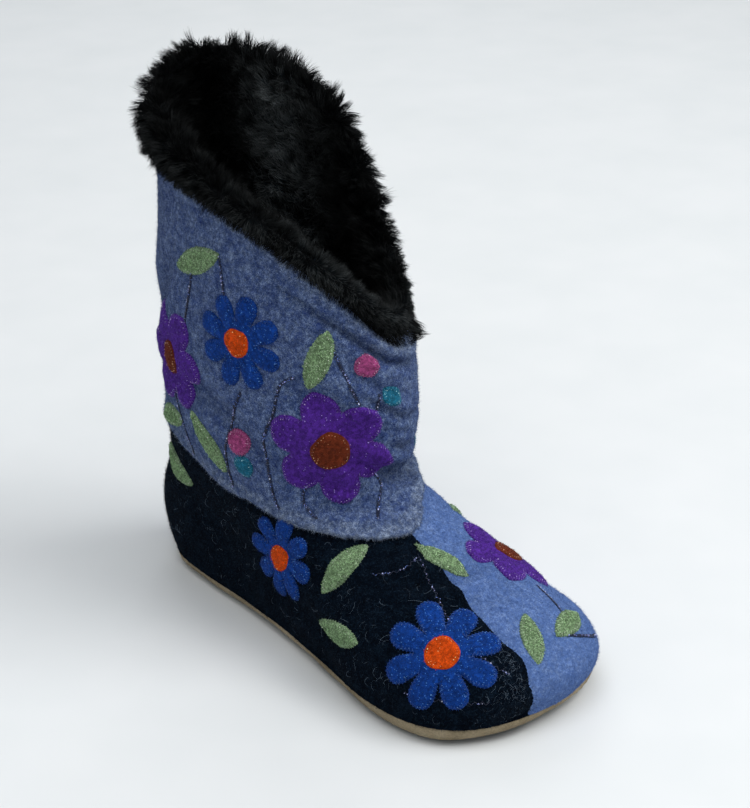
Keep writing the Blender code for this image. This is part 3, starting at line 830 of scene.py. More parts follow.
class Wall:
    """The felt's outer face, read at a level of its own for each column."""

    def __init__(self, columns):
        self.turn = turns(columns)
        levels = np.arange(LEVEL["feather"], LEVEL["collar"] + WALL_STEP / 2.0, WALL_STEP)
        self.rings = np.array([ring(level, self.turn) for level in levels])
        self.out = np.array([outward(min(level, LEVEL["collar"]), self.turn) for level in levels])

    def at(self, level, offset=0.0):
        """Points at a level of each column, moved out by an offset, and the normals there."""
        place = np.broadcast_to(level, self.turn.shape) / WALL_STEP
        place = np.clip(place, 0.0, len(self.rings) - BEFORE_END)
        i = place.astype(int)
        share = (place - i)[:, None]
        column = np.arange(len(self.turn))
        points = self.rings[i, column] * (1.0 - share) + self.rings[i + 1, column] * share
        out = unit(self.out[i, column] * (1.0 - share) + self.out[i + 1, column] * share)
        return points + out * np.reshape(offset, (-1, 1)), out


def felt_rows():
    """The upper's rows from the seam with the sole over the hem, up to the collar and down the inside.

    Each has its points, the points of the outer face that its folds follow, its distance into the foot's
    black half and its material slot.
    """
    wall = Wall(FELT_COLUMNS)
    turn = wall.turn
    hem_level = round_the_leg(HEM_LEVELS, turn)
    hem, hem_out = wall.at(hem_level)
    down = unit(wall.at(hem_level - WALL_STEP)[0] - hem)
    ragged = HEM_RAGGED / 2.0 * sum(np.sin(turn * count + phase) for count, phase in HEM_WAVES)
    none = np.zeros(len(turn))
    rows = []

    feather, feather_out = wall.at(LEVEL["feather"])
    sole_dark = dark_side(LEVEL["feather"], turn, feather)
    for drop, out in SOLE_EDGE:
        rows.append((feather + feather_out * out - UP * drop, feather, sole_dark, 0))
    for share in np.linspace(0.0, 1.0, FOOT_ROWS)[1:]:
        level = (hem_level - HEM_UNDER) * share
        points, _ = wall.at(level)
        rows.append((points, points, dark_side(level, turn, points), 0))
    for slide, out in HEM_EDGE:
        cut = ragged[:, None] * (slide > HEM_EDGE[-1][0])
        points = hem + hem_out * out + down * (slide + cut)
        rows.append((points, hem + down * slide, dark_side(hem_level, turn, points), int(out > 0.0)))
    for share in np.linspace(0.0, 1.0, SHAFT_ROWS):
        level = (hem_level + HEM_LAP) * (1.0 - share) + LEVEL["collar"] * share
        points, _ = wall.at(level, HEM_STEP)
        rows.append((points, points, none, 1))
    outer = len(rows)
    for level in INNER_LEVELS:
        lapped = HEM_STEP * smooth(level - hem_level)
        rows.append((wall.at(level, lapped - FELT_WALL)[0], wall.at(level, lapped)[0], none, 2))
    return [np.array(part) for part in zip(*rows)] + [outer]


def shaped_felt(rows, guides, darks, outer):
    """The rows moved by folds, slack, the puckers at the sole and the groove between the foot's halves.

    Also each point's painted shade in a crease, and its share in the edge along the fur, which is painted
    paler:
    partly the raw edge's paler fibres, partly a painted highlight.
    """
    normals = grid_normals(rows)
    normals[outer:] *= -1.0
    move, crease, raw_and_highlight = (part.reshape(rows.shape[:2]) for part in relief(guides.reshape(-1, 3)))
    move -= SEAM_DEPTH * bell(np.where(darks == 0.0, NO_SEAM, np.abs(darks)), SEAM_WIDTH)
    number = np.arange(len(rows))
    low = np.clip(1.0 - number / PUCKER_ROWS, 0.0, 1.0)[:, None]
    move += PUCKER_DEPTH * low * np.sin(round_length(rows[0]) * math.tau / PUCKER_LENGTH)
    from_sole = np.minimum(number, number[::-1] * 4)
    return rows + normals * (move * smooth(from_sole / CALM_ROWS)[:, None])[..., None], crease, raw_and_highlight


# The felt's outer face: rows of points, their distances into the black half, the rows' material slots, the
# points' painted shade in creases, and their shares in the edge along the fur, which is painted paler.
Felt = namedtuple("Felt", ("rows", "darks", "slots", "crease", "collar"))


def upper(materials):
    rows, guides, darks, slots, outer = felt_rows()
    rows, crease, collar = shaped_felt(rows, guides, darks, outer)
    faces = grid_faces(len(rows), FELT_COLUMNS, closed=True)
    obj = mesh_object("upper_felt", rows.reshape(-1, 3), [faces], materials, np.repeat(slots, FELT_COLUMNS))
    mark(obj, "dark_side", darks)
    # Painted shade in the felt's creases.
    mark(obj, "crease", crease)
    number = np.arange(len(rows))
    first = np.flatnonzero(slots == 1)[0]
    from_hem = np.maximum(number - first - len(HEM_EDGE) + 2, 0.0)
    # The shaft is painted paler over the hem and along the fur: partly raw edge, partly painted highlight.
    raw_and_highlight = RAW_EDGE_AND_HIGHLIGHT * bell(from_hem, RAW_EDGE_AND_HIGHLIGHT_ROWS) * (number >= first)
    mark(obj, "raw_edge_and_highlight", np.maximum(raw_and_highlight[:, None], collar))
    settle(obj, "blue_felt", "upper")
    return Felt(*(part[:outer] for part in (rows, darks, slots, crease, collar)))


def felt_tree(rows):
    """A search tree of the felt's outer face."""
    points = rows.reshape(-1, 3)
    return BVHTree.FromPolygons(points.tolist(), grid_faces(len(rows), rows.shape[1]).tolist())


def on_felt(tree, points, height):
    """Places at a height over the felt nearest to points, and the felt's normals there."""
    ground, normals = (np.array(part) for part in zip(*(tree.find_nearest(Vector(p))[:2] for p in points)))
    return ground + normals * np.reshape(height, (-1, 1)), normals


# ---------- Fibres ----------


def scatter(points, faces, count, rng, weights=1.0):
    """Random places on four-cornered faces, evenly by area: positions, normals and the faces they lie on."""
    a, b, c, d = (points[faces[:, k]] for k in range(4))
    normals = np.cross(c - a, d - b)
    area = np.linalg.norm(normals, axis=-1) * weights
    chosen = rng.choice(len(faces), size=count, p=area / area.sum())
    u, v = rng.uniform(size=(2, count, 1))
    low = a[chosen] * (1.0 - u) + b[chosen] * u
    high = d[chosen] * (1.0 - u) + c[chosen] * u
    return low * (1.0 - v) + high * v, unit(normals[chosen]), chosen


def loose_piece(name, slot, points, faces, material, marks):
    """A piece of many separate hairs or flakes, with the numbers that its material reads."""
    obj = mesh_object(name, np.reshape(points, (-1, 3)), faces, [material], soft=False)
    for key, values in marks.items():
        mark(obj, key, values)
    settle(obj, slot)


def fibres(name, slot, roots, ways, lengths, width, material, rng, marks):
    """Short straight fibres, one triangle each."""
    side = unit(np.cross(ways, rng.normal(size=roots.shape))) * width / 2.0
    points = np.stack((roots - side, roots + side, roots + ways * lengths[:, None]), axis=1)
    faces = [np.arange(len(roots) * 3).reshape(-1, 3)]
    marks = {key: np.repeat(values, 3) for key, values in marks.items()}
    loose_piece(name, slot, points, faces, material, marks)


# The felt's loose fibres: how many, how long, the least share of a length, the least tone, and lift, how far
# they rise.
Fuzz = namedtuple("Fuzz", ("count", "length", "least", "tone", "lift"))
FUZZ = {
    "foot": Fuzz(80000, (0.8, 2.3), 0.5, 0.0, 0.0),
    "shaft": Fuzz(95000, (0.8, 2.3), 0.5, 0.0, 0.0),
    "hem": Fuzz(12000, (1.0, 2.8), 0.4, 0.2, 0.0),
    "collar": Fuzz(9000, (1.0, 2.6), 0.5, 0.3, 0.45),
}
FUZZ_WIDTH = 0.17
FUZZ_STAND = 0.5
FUZZ_STRAY = 0.8
HEM_FUZZ_ROWS = 5


def fuzz_ways(normals, rng):
    return unit(normals * FUZZ_STAND + unit(rng.normal(size=normals.shape)) * FUZZ_STRAY)


def felt_fuzz(felt, materials):
    """Loose wool fibres that stand off the felt, on the foot and the shaft and along their cut edges."""
    rng = chance("fuzz")
    columns = felt.rows.shape[1]
    points = felt.rows.reshape(-1, 3)
    faces = grid_faces(len(felt.rows), columns)
    darks, crease, collar = (part[:-1].ravel() for part in (felt.darks, felt.crease, felt.collar))
    slots = np.repeat(felt.slots[:-1], columns)
    past_edge = np.arange(len(faces)) // columns - np.flatnonzero(felt.slots == 0)[-1]
    weights = {
        "foot": slots == 0,
        "shaft": slots == 1,
        "hem": (past_edge > 0) & (past_edge <= HEM_FUZZ_ROWS),
        "collar": collar**2 * (slots == 1),
    }
    for name, fuzz in FUZZ.items():
        count = int(fuzz.count * FINE)
        roots, normals, index = scatter(points, faces, count, rng, weights[name])
        lengths = rng.uniform(*fuzz.length, size=count) * rng.uniform(fuzz.least, 1.0, size=count)
        tone = rng.uniform(fuzz.tone, 1.0, size=count)
        marks = {"dark_side": darks[index], "crease": crease[index], "tone": tone}
        ways = unit(fuzz_ways(normals, rng) + UP * fuzz.lift)
        label = f"{name}_fuzz"
        fibres(label, "blue_felt", roots, ways, lengths, FUZZ_WIDTH, materials[name], rng, marks)


# Long pale hairs that cling to the black felt.
HAIR_COUNT = 300
HAIR_LEVELS = (0.6, 6.6)
HAIR_TURNS = (-170.0, -12.0)
HAIR_LENGTH = (3.0, 8.0)
HAIR_WIDTH = 0.05
HAIR_CURL = 0.55
HAIR_TONES = (0.0, 0.7)
HAIR_STEPS = 6
LOWEST_HAIR = 0.5
# Its ends lie so far over the felt, and its middle is lifted so much further.
HAIR_HEIGHT = 0.4
HAIR_LIFT = 0.8
# Short ones lie on a scuff beside the seam: where it is, how far it spreads, and their share of the length.
Scuff = namedtuple("Scuff", ("count", "level", "turn", "levels", "turns", "short"))
SCUFF = Scuff(150, 2.6, -15.0, 1.0, 6.0, 0.55)


def hair_spine(tree, place, normal, heading, curl, step):
    """Points of a curled hair that lies over the felt, lifted in its middle."""
    spine = []
    for i in range(HAIR_STEPS + 1):
        heading = (heading - normal * heading.dot(normal)).normalized()
        spine.append(place + normal * (HAIR_HEIGHT + HAIR_LIFT * math.sin(math.pi * i / HAIR_STEPS)))
        heading = heading * math.cos(curl) + normal.cross(heading) * math.sin(curl)
        place, normal, _, _ = tree.find_nearest(place + heading * step)
    return np.array(spine)


def stray_hairs(tree, material):
    """Curled hairs that lie over the foot, as ribbons."""
    rng = chance("hairs")
    points = []
    tones = []
    for number in range(HAIR_COUNT + SCUFF.count):
        scuffed = number >= HAIR_COUNT
        level = rng.uniform(*HAIR_LEVELS)
        turn = rng.uniform(*HAIR_TURNS)
        if scuffed:
            level = SCUFF.level + rng.normal() * SCUFF.levels
            turn = SCUFF.turn - abs(rng.normal()) * SCUFF.turns
        place, normal, _, _ = tree.find_nearest(Vector(spot(max(level, LOWEST_HAIR), turn)))
        heading = Vector(rng.normal(size=3))
        curl = rng.uniform(-HAIR_CURL, HAIR_CURL)
        tones.append(rng.uniform(*HAIR_TONES))
        step = rng.uniform(*HAIR_LENGTH) / HAIR_STEPS * (SCUFF.short if scuffed else 1.0)
        spine = hair_spine(tree, place, normal, heading, curl, step)
        across = unit(np.cross(np.gradient(spine, axis=0), rng.normal(size=3))) * HAIR_WIDTH / 2.0
        points.append(np.stack((spine - across, spine + across), axis=1))
    corners = 2 * (HAIR_STEPS + 1)
    first = np.arange(len(points))[:, None, None] * corners + np.arange(HAIR_STEPS)[:, None] * 2
    faces = (first + np.array((0, 1, 3, 2))).reshape(-1, 4)
    loose_piece("stray_hairs", "blue_felt", points, [faces], material, {"tone": np.repeat(tones, corners)})


# ---------- Fur ----------

# How far the fur reaches below the collar outside, every 30 degrees from the front by the outer side, and
# inside, at the front, the outer side, the back and the inner side.
OUTER_DROP = np.array((14.0, 16.0, 18.5, 22.0, 21.5, 19.5, 17.0, 13.5, 10.0, 7.0, 8.0, 11.0))
INNER_DROP = np.array((42.0, 80.0, 80.0, 60.0))
# The backing keeps this gap off the felt's faces.
FUR_GAP = 0.8
OUTER_FACE = HEM_STEP + FUR_GAP
INNER_FACE = HEM_STEP - FELT_WALL - FUR_GAP
# Its outer edge is tucked under at this share of its drop, and its inner edge lies so far off the outer face.
TUCKED = 0.97
LINING_BACK = -3.9
# How full the turned-over fur is and how high its crest stands, every 30 degrees round the leg in the same
# way. It is flattened on the inner side of the V, where the pile is shorter by a share.
FULLNESS = np.array((0.22, 0.05, 0.45, 0.85, 1.0, 1.0, 1.0, 1.0, 0.95, 0.85, 0.75, 0.50))
CREST = np.array((0.10, 0.50, 1.0, 1.0, 1.0, 1.0, 1.0, 1.0, 1.0, 0.75, 0.30, 0.10))
FLAT_LENGTH = 0.40
THIN_LENGTH = 0.45
# Painted light on the tips, every 30 degrees in the same way: they are painted lightest at the front and at
# the inner front.
TIP_PAINTED_LIGHT = np.array((1.0, 0.60, 0.44, 0.42, 0.45, 0.36, 0.36, 0.36, 0.36, 0.40, 0.75, 1.10))
# A soft fold runs down the lining on the outer side, and its pile is painted lighter over a wider band, a
# painted highlight.
LINING_FOLD_TURN = math.radians(114.0)
LINING_FOLD_WIDTH = math.radians(14.0)
LINING_FOLD_DEPTH = 4.5
LINING_FOLD_PAINTED_LIGHT = 22.0
LINING_PAINTED_LIGHT_WIDTH = 1.3 * LINING_FOLD_WIDTH
# A tuft stands out at the bottom of the V.
TUFT_TURN = math.radians(24.0)
TUFT_WIDTH = math.radians(5.5)
TUFT_ROWS = 3.0
TUFT_REACH = np.array((7.0, -7.0, 3.0))
TUFT_PULL = 5.0
TUFT_SHARES = (0.5, 1.0)

# The fur's backing, round its section: outer and inner are shares of its drops below the collar, rise is over
# the collar, and out is off the felt's outer face. flow is how the pile leans, +1 up the boot and -1 down it,
# length is a share of the pile's whole length, and light is the painted light on its tips: painted darkest on
# the outer face, where shade falls, and lightest on the crest, a painted highlight.
FurRow = namedtuple("FurRow", ("outer", "inner", "rise", "out", "flow", "length", "light"))
FUR_ROWS = [FurRow(*row) for row in (
    (1.00, 0.0, 0.0, 2.8, -1.0, 0.30, 0.12),
    (0.92, 0.0, 0.0, 4.2, -1.0, 0.42, 0.13),
    (0.70, 0.0, 0.0, 5.5, -1.0, 0.60, 0.30),
    (0.40, 0.0, 0.0, 5.9, -1.0, 0.80, 1.20),
    (0.12, 0.0, 1.0, 5.4, -0.8, 0.90, 1.35),
    (0.0, 0.0, 3.6, 3.6, -0.5, 0.95, 1.00),
    (0.0, 0.0, 5.0, 0.0, 0.0, 1.00, 0.78),
    (0.0, 0.0, 3.6, -3.4, 0.5, 1.00, 0.62),
    (0.0, 0.05, 1.0, -5.0, 0.8, 1.00, 0.45),
    (0.0, 0.18, 0.0, -5.8, 1.0, 1.05, 0.40),
    (0.0, 0.35, 0.0, -6.0, 1.0, 1.05, 0.42),
    (0.0, 0.55, 0.0, -6.0, 1.0, 1.0, 0.48),
    (0.0, 0.75, 0.0, -5.8, 1.0, 1.0, 0.50),
    (0.0, 0.95, 0.0, -5.4, 1.0, 1.0, 0.45),
    (0.0, 1.15, 0.0, -4.8, 1.0, 1.0, 0.35),
    (0.0, 1.35, 0.0, -4.4, 1.0, 1.0, 0.25),
)]
# The rows, counted from the outer edge, over which one stretch of the fur gives way to the next.
RIM_STARTS = (1.0, 3.0)
FLAT_STARTS = (2.5, 4.0)
CREST_STARTS = (4.0, 6.0)
LINING_STARTS = (7.0, 9.0)
# The deepest rows carry a smaller share of the pile.
DEEP_ROWS = 5
DEEP_SHARE = 0.45
FUR_COLUMNS = 180


def below_collar(drop, out, turn):
    """Points off the shaft's wall at a height below the collar."""
    levels = np.arange(LEVEL["vamp_high"], LEVEL["collar"] + WALL_STEP / 2.0, WALL_STEP)
    wall = np.stack([skin(min(level, LEVEL["collar"]), out, turn) for level in levels], axis=1)
    heights = wall[:, -1, 2] - drop
    return np.array([[np.interp(z, line[:, 2], axis) for axis in line.T] for z, line in zip(heights, wall)])


def fur_edge():
    """The line on the felt where the fur's outer edge ends."""
    turn = turns(FUR_COLUMNS)
    return below_collar(round_the_leg(OUTER_DROP, turn), HEM_STEP, turn)


def fur_face():
    """Rows of the fur's backing, from its outer edge over the crest and down the lining."""
    turn = turns(FUR_COLUMNS)
    flat = 1.0 - round_the_leg(FULLNESS, turn)
    fold = LINING_FOLD_DEPTH * bell(turn - LINING_FOLD_TURN, LINING_FOLD_WIDTH)
    rows = []
    for row in FUR_ROWS:
        drop = round_the_leg(OUTER_DROP, turn) * row.outer + round_the_leg(INNER_DROP, turn) * row.inner
        out = row.out - max(row.out - OUTER_FACE, 0.0) * flat - fold * (row.out < INNER_FACE)
        points = below_collar(drop, out, turn)
        points[:, 2] += row.rise * round_the_leg(CREST, turn)
        rows.append(points)
    return np.array(rows)


def fur_backing(rows, material):
    """The body that the pile stands on, closed along the felt."""
    turn = turns(FUR_COLUMNS)
    hidden = (
        below_collar(round_the_leg(INNER_DROP, turn) * FUR_ROWS[-1].inner, LINING_BACK, turn),
        below_collar(0.0, INNER_FACE, turn) + UP * FUR_GAP,
        below_collar(0.0, OUTER_FACE, turn) + UP * FUR_GAP,
        below_collar(round_the_leg(OUTER_DROP, turn) * TUCKED, OUTER_FACE, turn),
    )
    section = np.concatenate((rows, hidden))
    faces = grid_faces(len(section), FUR_COLUMNS, closed=True)
    backing = mesh_object("fur_backing", section.reshape(-1, 3), [faces], [material])
    settle(backing, "black_fur", "fur_cuff")


PILE_COUNT = 130000
PILE_LENGTH = (7.0, 10.5)
PILE_WIDTH = 0.21
PILE_PIECES = 3
# What bends a hair: standing up, leaning along the wall, combing in broad and narrow waves, and chance.
PILE_STAND = 0.85
PILE_LEAN = 0.62
COMBS = ((5, 26.0, 0.26), (6, 9.0, 0.22))
COMB_WAVES = 5
COMB_LENGTHS = (0.6, 1.4)
COMB_CALM = 2.2
PILE_STRAY = 0.28
# Hairs gather in locks, each with its own length and tone, and gather most at the rim.
LOCK_COUNT = 4200
LOCK_PULL = 0.32
RIM_PULL = 0.50
LEAST_PULL = 0.4
LOCK_LENGTH = (0.75, 1.25)
LOCK_TONE = (0.65, 1.4)
HAIR_TONE = (0.5, 1.5)
# A hair bulges at its middle, where it is narrower and its colour is this far along.
HAIR_BULGE = 0.10
HAIR_MIDDLE_WIDTH = 0.8
HAIR_ALONG = (0.0, 0.0, 0.55, 0.55, 1.0)


def combed(points, seed, length):
    """A smooth field of vectors that varies over the given length."""
    rng = np.random.default_rng(seed)
    field = np.zeros((len(points), 3))
    for _ in range(COMB_WAVES):
        way = unit(rng.normal(size=3))
        phase = points @ way * (math.tau / length / rng.uniform(*COMB_LENGTHS)) + rng.uniform(*PHASES)
        field += np.sin(phase)[:, None] * rng.normal(size=3)
    return field / COMB_CALM


def locks(roots, rng):
    """The roots that locks gather round, and each hair's lock."""
    chosen = rng.choice(len(roots), size=int(LOCK_COUNT * FINE), replace=False)
    tree = kdtree.KDTree(len(chosen))
    for i, k in enumerate(chosen):
        tree.insert(roots[k], i)
    tree.balance()
    return chosen, np.array([tree.find(root)[1] for root in roots])


def pile(roots, normals, lean, lengths, pull, light, material, rng):
    """Bent tapering hairs in locks. Each hair is a four-sided face and a tip."""
    count = len(roots)
    comb = sum(combed(roots, seed, length) * share for seed, length, share in COMBS)
    ways = unit(normals * PILE_STAND + lean + comb + rng.normal(size=(count, 3)) * PILE_STRAY)
    chosen, lock = locks(roots, rng)
    lengths = lengths * rng.uniform(*LOCK_LENGTH, size=len(chosen))[lock]
    tips = roots + ways * lengths[:, None]
    strength = pull * rng.uniform(LEAST_PULL, 1.0, size=len(chosen))[lock]
    tips += (tips[chosen][lock] - tips) * strength[:, None]
    light = light * rng.uniform(*LOCK_TONE, size=len(chosen))[lock] * rng.uniform(*HAIR_TONE, size=count)
    middle = roots + (tips - roots) * 0.5 + normals * (lengths * HAIR_BULGE)[:, None]
    side = unit(np.cross(tips - roots, rng.normal(size=(count, 3)))) * PILE_WIDTH / 2.0
    thin = side * HAIR_MIDDLE_WIDTH
    points = np.stack((roots - side, roots + side, middle + thin, middle - thin, tips), axis=1)
    for number, group in enumerate(np.array_split(np.arange(count), PILE_PIECES), 1):
        first = np.arange(len(group))[:, None] * len(HAIR_ALONG)
        faces = [first + np.array((0, 1, 2, 3)), first + np.array((3, 2, 4))]
        marks = {"along": np.tile(HAIR_ALONG, len(group)), "light": np.repeat(light[group], len(HAIR_ALONG))}
        loose_piece(f"fur_pile_{number}", "black_fur", points[group], faces, material, marks)


def fur(backing, pile_material):
    """The fur lining and cuff: a backing and the pile on it."""
    rows = fur_face()
    fur_backing(rows, backing)
    rng = chance("fur")
    count = int(PILE_COUNT * FINE)
    faces = grid_faces(len(rows), FUR_COLUMNS)
    row_of_face = np.arange(len(faces)) // FUR_COLUMNS
    weights = np.where(row_of_face >= len(rows) - DEEP_ROWS, DEEP_SHARE, 1.0)
    roots, normals, index = scatter(rows.reshape(-1, 3), faces, count, rng, weights)
    row = row_of_face[index] + rng.uniform(size=count)
    flow, length, light = (np.interp(row, np.arange(len(rows)), key) for key in np.array(FUR_ROWS).T[4:])

    turn = turns(FUR_COLUMNS)[index % FUR_COLUMNS]
    crest = round_the_leg(CREST, turn)
    lining = rising(row, *LINING_STARTS)
    outside = 1.0 - rising(row, *CREST_STARTS)
    length *= 1.0 - THIN_LENGTH * outside * (1.0 - round_the_leg(FULLNESS, turn))
    length *= 1.0 - FLAT_LENGTH * (1.0 - crest) * rising(row, *FLAT_STARTS)
    # The tips' painted light: by row, then round the leg, and a painted highlight on the lining's fold.
    light *= round_the_leg(TIP_PAINTED_LIGHT, turn)
    light *= 1.0 + LINING_FOLD_PAINTED_LIGHT * lining * bell(turn - LINING_FOLD_TURN, LINING_PAINTED_LIGHT_WIDTH)
    along_wall = unit(UP - normals * (normals @ UP)[:, None])
    lengths = rng.uniform(*PILE_LENGTH, size=count) * length

    tuft = bell(turn - TUFT_TURN, TUFT_WIDTH) * (row < TUFT_ROWS)
    to_tip = fur_edge()[int(TUFT_TURN / math.tau * FUR_COLUMNS)] + TUFT_REACH - roots
    flow *= PILE_LEAN * (1.0 - tuft)
    lean = along_wall * flow[:, None] + unit(to_tip) * (TUFT_PULL * tuft)[:, None]
    reach = np.linalg.norm(to_tip, axis=-1) * rng.uniform(*TUFT_SHARES, size=count)
    lengths = lengths * (1.0 - tuft) + reach * tuft
    pull = LOCK_PULL + RIM_PULL * crest * rising(row, *RIM_STARTS) * (1.0 - lining)
    pile(roots, normals, lean, lengths, pull, light, pile_material, rng)


# ---------- Sole and footbed ----------

SoleRow = namedtuple("SoleRow", ("inset", "share", "thick"))
SOLE_ROWS = [SoleRow(*row) for row in (
    (30.0, 0.0, 0.0), (20.0, 0.0, 0.0), (12.0, 0.0, 0.0), (8.0, 0.03, 0.0),
    (5.0, 0.10, 0.0), (2.8, 0.24, 0.0), (1.2, 0.50, 0.0), (0.35, 0.75, 0.0),
    (0.1, 0.93, 0.0), (0.5, 1.0, 0.0), (LEATHER, 1.0, 0.0), (LEATHER + 2.4, 0.35, LEATHER * 0.6),
    (LEATHER + 9.5, 0.0, LEATHER),
)]
# The leather is gathered along the seam, in waves of a depth, length and phase, and its edge bulges a little
# at some turns, in degrees, by so many millimetres.
GATHERS = ((0.22, PUCKER_LENGTH, 0.0), (0.18, 31.0, 1.0))
KINKS = (
    (-57, 0.7), (-36, 1.3), (-16, 1.1), (10, 1.0), (38, 0.8), (84, 0.7), (128, 0.9), (171, 0.6), (-148, 0.9),
    (-98, 0.7),
)
KINK_WIDTH = 11.0
TOE_SPRING = 5.0
SPRING_STARTS_Y = -88.0
SPRING_POWER = 1.6
SPRING_MOST = 1.2
ARCH_LIFT = 1.2
ARCH_Y = (-18.0, 62.0)
SOLE_COLUMNS = 300


def tread_z(y):
    """Height of the tread: flat under heel and ball, a little lifted between them and sprung at the toe."""
    ahead = np.clip((SPRING_STARTS_Y - y) / (SOLE_HALF_LENGTH + SPRING_STARTS_Y), 0.0, SPRING_MOST)
    along_arch = np.clip((y - ARCH_Y[0]) / (ARCH_Y[1] - ARCH_Y[0]), 0.0, 1.0)
    return TOE_SPRING * ahead**SPRING_POWER + ARCH_LIFT * np.sin(math.pi * along_arch) ** 2


def seam_ring(inset, turn):
    """The seam between upper and sole, drawn in by a distance in plan."""
    seam = ring(LEVEL["feather"], turn)
    seam[:, :2] += inward(seam[:, :2]) * np.reshape(inset, (-1, 1))
    return seam


def cap_faces(first, count):
    """Faces across a ring whose two halves have the same y."""
    half = count // 2
    i = np.arange(1, half - 1)
    faces = first + np.stack((i, i + 1, count - i - 1, count - i), axis=-1)
    return faces, first + np.array(((0, 1, count - 1), (half - 1, half, half + 1)))


def closed_body(name, rows, material):
    """A body from rows of points that go round, from its underside's middle to its top's."""
    columns = len(rows[0])
    under = [block[:, ::-1] for block in cap_faces(0, columns)]
    over = cap_faces((len(rows) - 1) * columns, columns)
    faces = [grid_faces(len(rows), columns), *under, *over]
    return mesh_object(name, np.concatenate(rows), faces, [material])


def outsole(material):
    """The leather tray, a little uneven where it is gathered to the seam."""
    turn = turns(SOLE_COLUMNS)
    seam = ring(LEVEL["feather"], turn)
    seam_z = seam[:, 2] - SEAM_GAP
    length = round_length(seam)
    gathers = sum(depth * np.sin(length * math.tau / wave + phase) for depth, wave, phase in GATHERS)
    for place, bulge in KINKS:
        away = (np.degrees(turn) - place + 180.0) % 360.0 - 180.0
        gathers += bulge * np.maximum(1.0 - np.abs(away) / KINK_WIDTH, 0.0)
    rows = []
    for row in SOLE_ROWS:
        bulging = math.sin(math.pi * row.share) if row.thick == 0.0 else 0.0
        points = seam_ring(row.inset - gathers * bulging, turn)
        low = tread_z(points[:, 1])
        points[:, 2] = low + row.thick + (seam_z - low) * row.share
        rows.append(points)
    obj = closed_body("outsole_leather", rows, material)
    mark(obj, "height", np.repeat([row.share for row in SOLE_ROWS], SOLE_COLUMNS))
    settle(obj, "tan_leather", "outsole")


# The insole's rows: inset from the seam, and rise over the tread.
INSOLE_ROWS = (
    (13.5, LEATHER + 0.3), (6.6, LEATHER + 2.2), (4.6, 8.2), (5.2, 9.8),
    (6.6, 11.0), (9.0, 11.7), (14.0, 12.0), (24.0, 12.0),
)
INSOLE_COLUMNS = 180


def insole(material):
    """The padded footbed."""
    turn = turns(INSOLE_COLUMNS)
    rows = []
    for inset, rise in INSOLE_ROWS:
        points = seam_ring(inset, turn)
        points[:, 2] = tread_z(points[:, 1]) + rise
        rows.append(points)
    obj = closed_body("insole_felt", rows, material)
    settle(obj, "insole_felt", "insole")


# ---------- Sewn felt shapes ----------

# Where the sewn shapes lie, as a level and a turn in degrees, how far they are spun, and their reach.
FLOWERS = (
    ("star_flower", 9.0, -37.0, 12.0, 31.0), ("star_flower", 9.15, -119.0, 30.0, 28.0),
    ("star_flower", 9.5, 162.0, 5.0, 26.0), ("star_flower", 8.95, 67.0, 14.0, 28.0),
    ("star_flower", 4.85, 37.0, 10.0, 25.5), ("daisy", 9.85, -78.0, 6.0, 24.0),
    ("daisy", 3.4, -37.0, 6.0, 27.5), ("daisy", 4.3, -89.0, 18.0, 22.0),
    ("daisy", 4.1, 93.0, 12.0, 23.0), ("daisy", 9.5, 112.0, 24.0, 24.0),
)
LEAVES = (
    (10.05, -43.0, 70.0, 16.0), (10.3, -99.0, 25.0, 17.0), (8.1, -95.0, -50.0, 17.0),
    (7.6, -128.0, 20.0, 16.0), (5.65, -55.0, 62.0, 16.0), (5.95, -6.0, -78.0, 15.0),
    (3.6, -2.0, 66.0, 14.0), (3.1, 20.0, -15.0, 15.0), (2.4, -73.0, 6.0, 15.0),
    (8.5, -158.0, 60.0, 18.0), (10.4, 144.0, -55.0, 17.0), (8.2, 104.0, 30.0, 18.0),
    (4.7, 68.0, -60.0, 16.0), (4.4, 134.0, 15.0, 17.0), (4.6, -140.0, -15.0, 17.0),
)
BERRIES = (
    ("pink_berry", 8.6, -78.0, 0.0, 6.5), ("teal_berry", 8.1, -75.0, 0.0, 5.5),
    ("pink_berry", 10.2, -19.0, 0.0, 6.0), ("teal_berry", 9.9, -5.0, 0.0, 5.5),
    ("pink_berry", 8.1, 148.0, 0.0, 6.5), ("teal_berry", 8.3, 36.0, 0.0, 6.0),
)

# A petal's reach at shares of the way from a notch to its tip.
PETAL_STEPS = (0.0, 0.12, 0.26, 0.40, 0.5)
PETALS = {
    "star_flower": (6, (0.62, 0.80, 0.915, 0.97, 1.0)),
    "daisy": (8, (0.46, 0.80, 0.95, 0.99, 1.0)),
}
PETAL_SHORT = 0.05
DISC_REACH = 0.30
DISC_REST = 0.8
LEAF_SLIM = 0.36
LEAF_POINTED = 1.55
LEAF_BEND = 0.05
# Outlines are worked out at so many angles, and a flower's at so many for each petal.
PETAL_ANGLES = 48
LEAF_ANGLES = 160
DISC_ANGLES = 90

RAYS = 60
RAY_STEP = 2.4
# The rays of a chart run on to this share of a shape's reach.
RAY_PAST = 1.15
SHAPE_STEP = 1.05
# Lines of points run inside a shape's edge at these depths, and its even grid starts further in.
EDGE_DEPTHS = (0.35, 0.85, 1.5, 2.2)
GRID_DEPTH = 2.7
# A line's points are left out where they come nearer to the edge than this share of its depth.
LINE_KEPT = 0.93
# Points nearer to each other than this are one.
WELD = 1e-4
THICK = {"petals": 1.35, "disc": 1.3, "leaf": 1.3, "berry": 1.2}
EDGE_ROUND = 0.42
SKIRT = 0.6
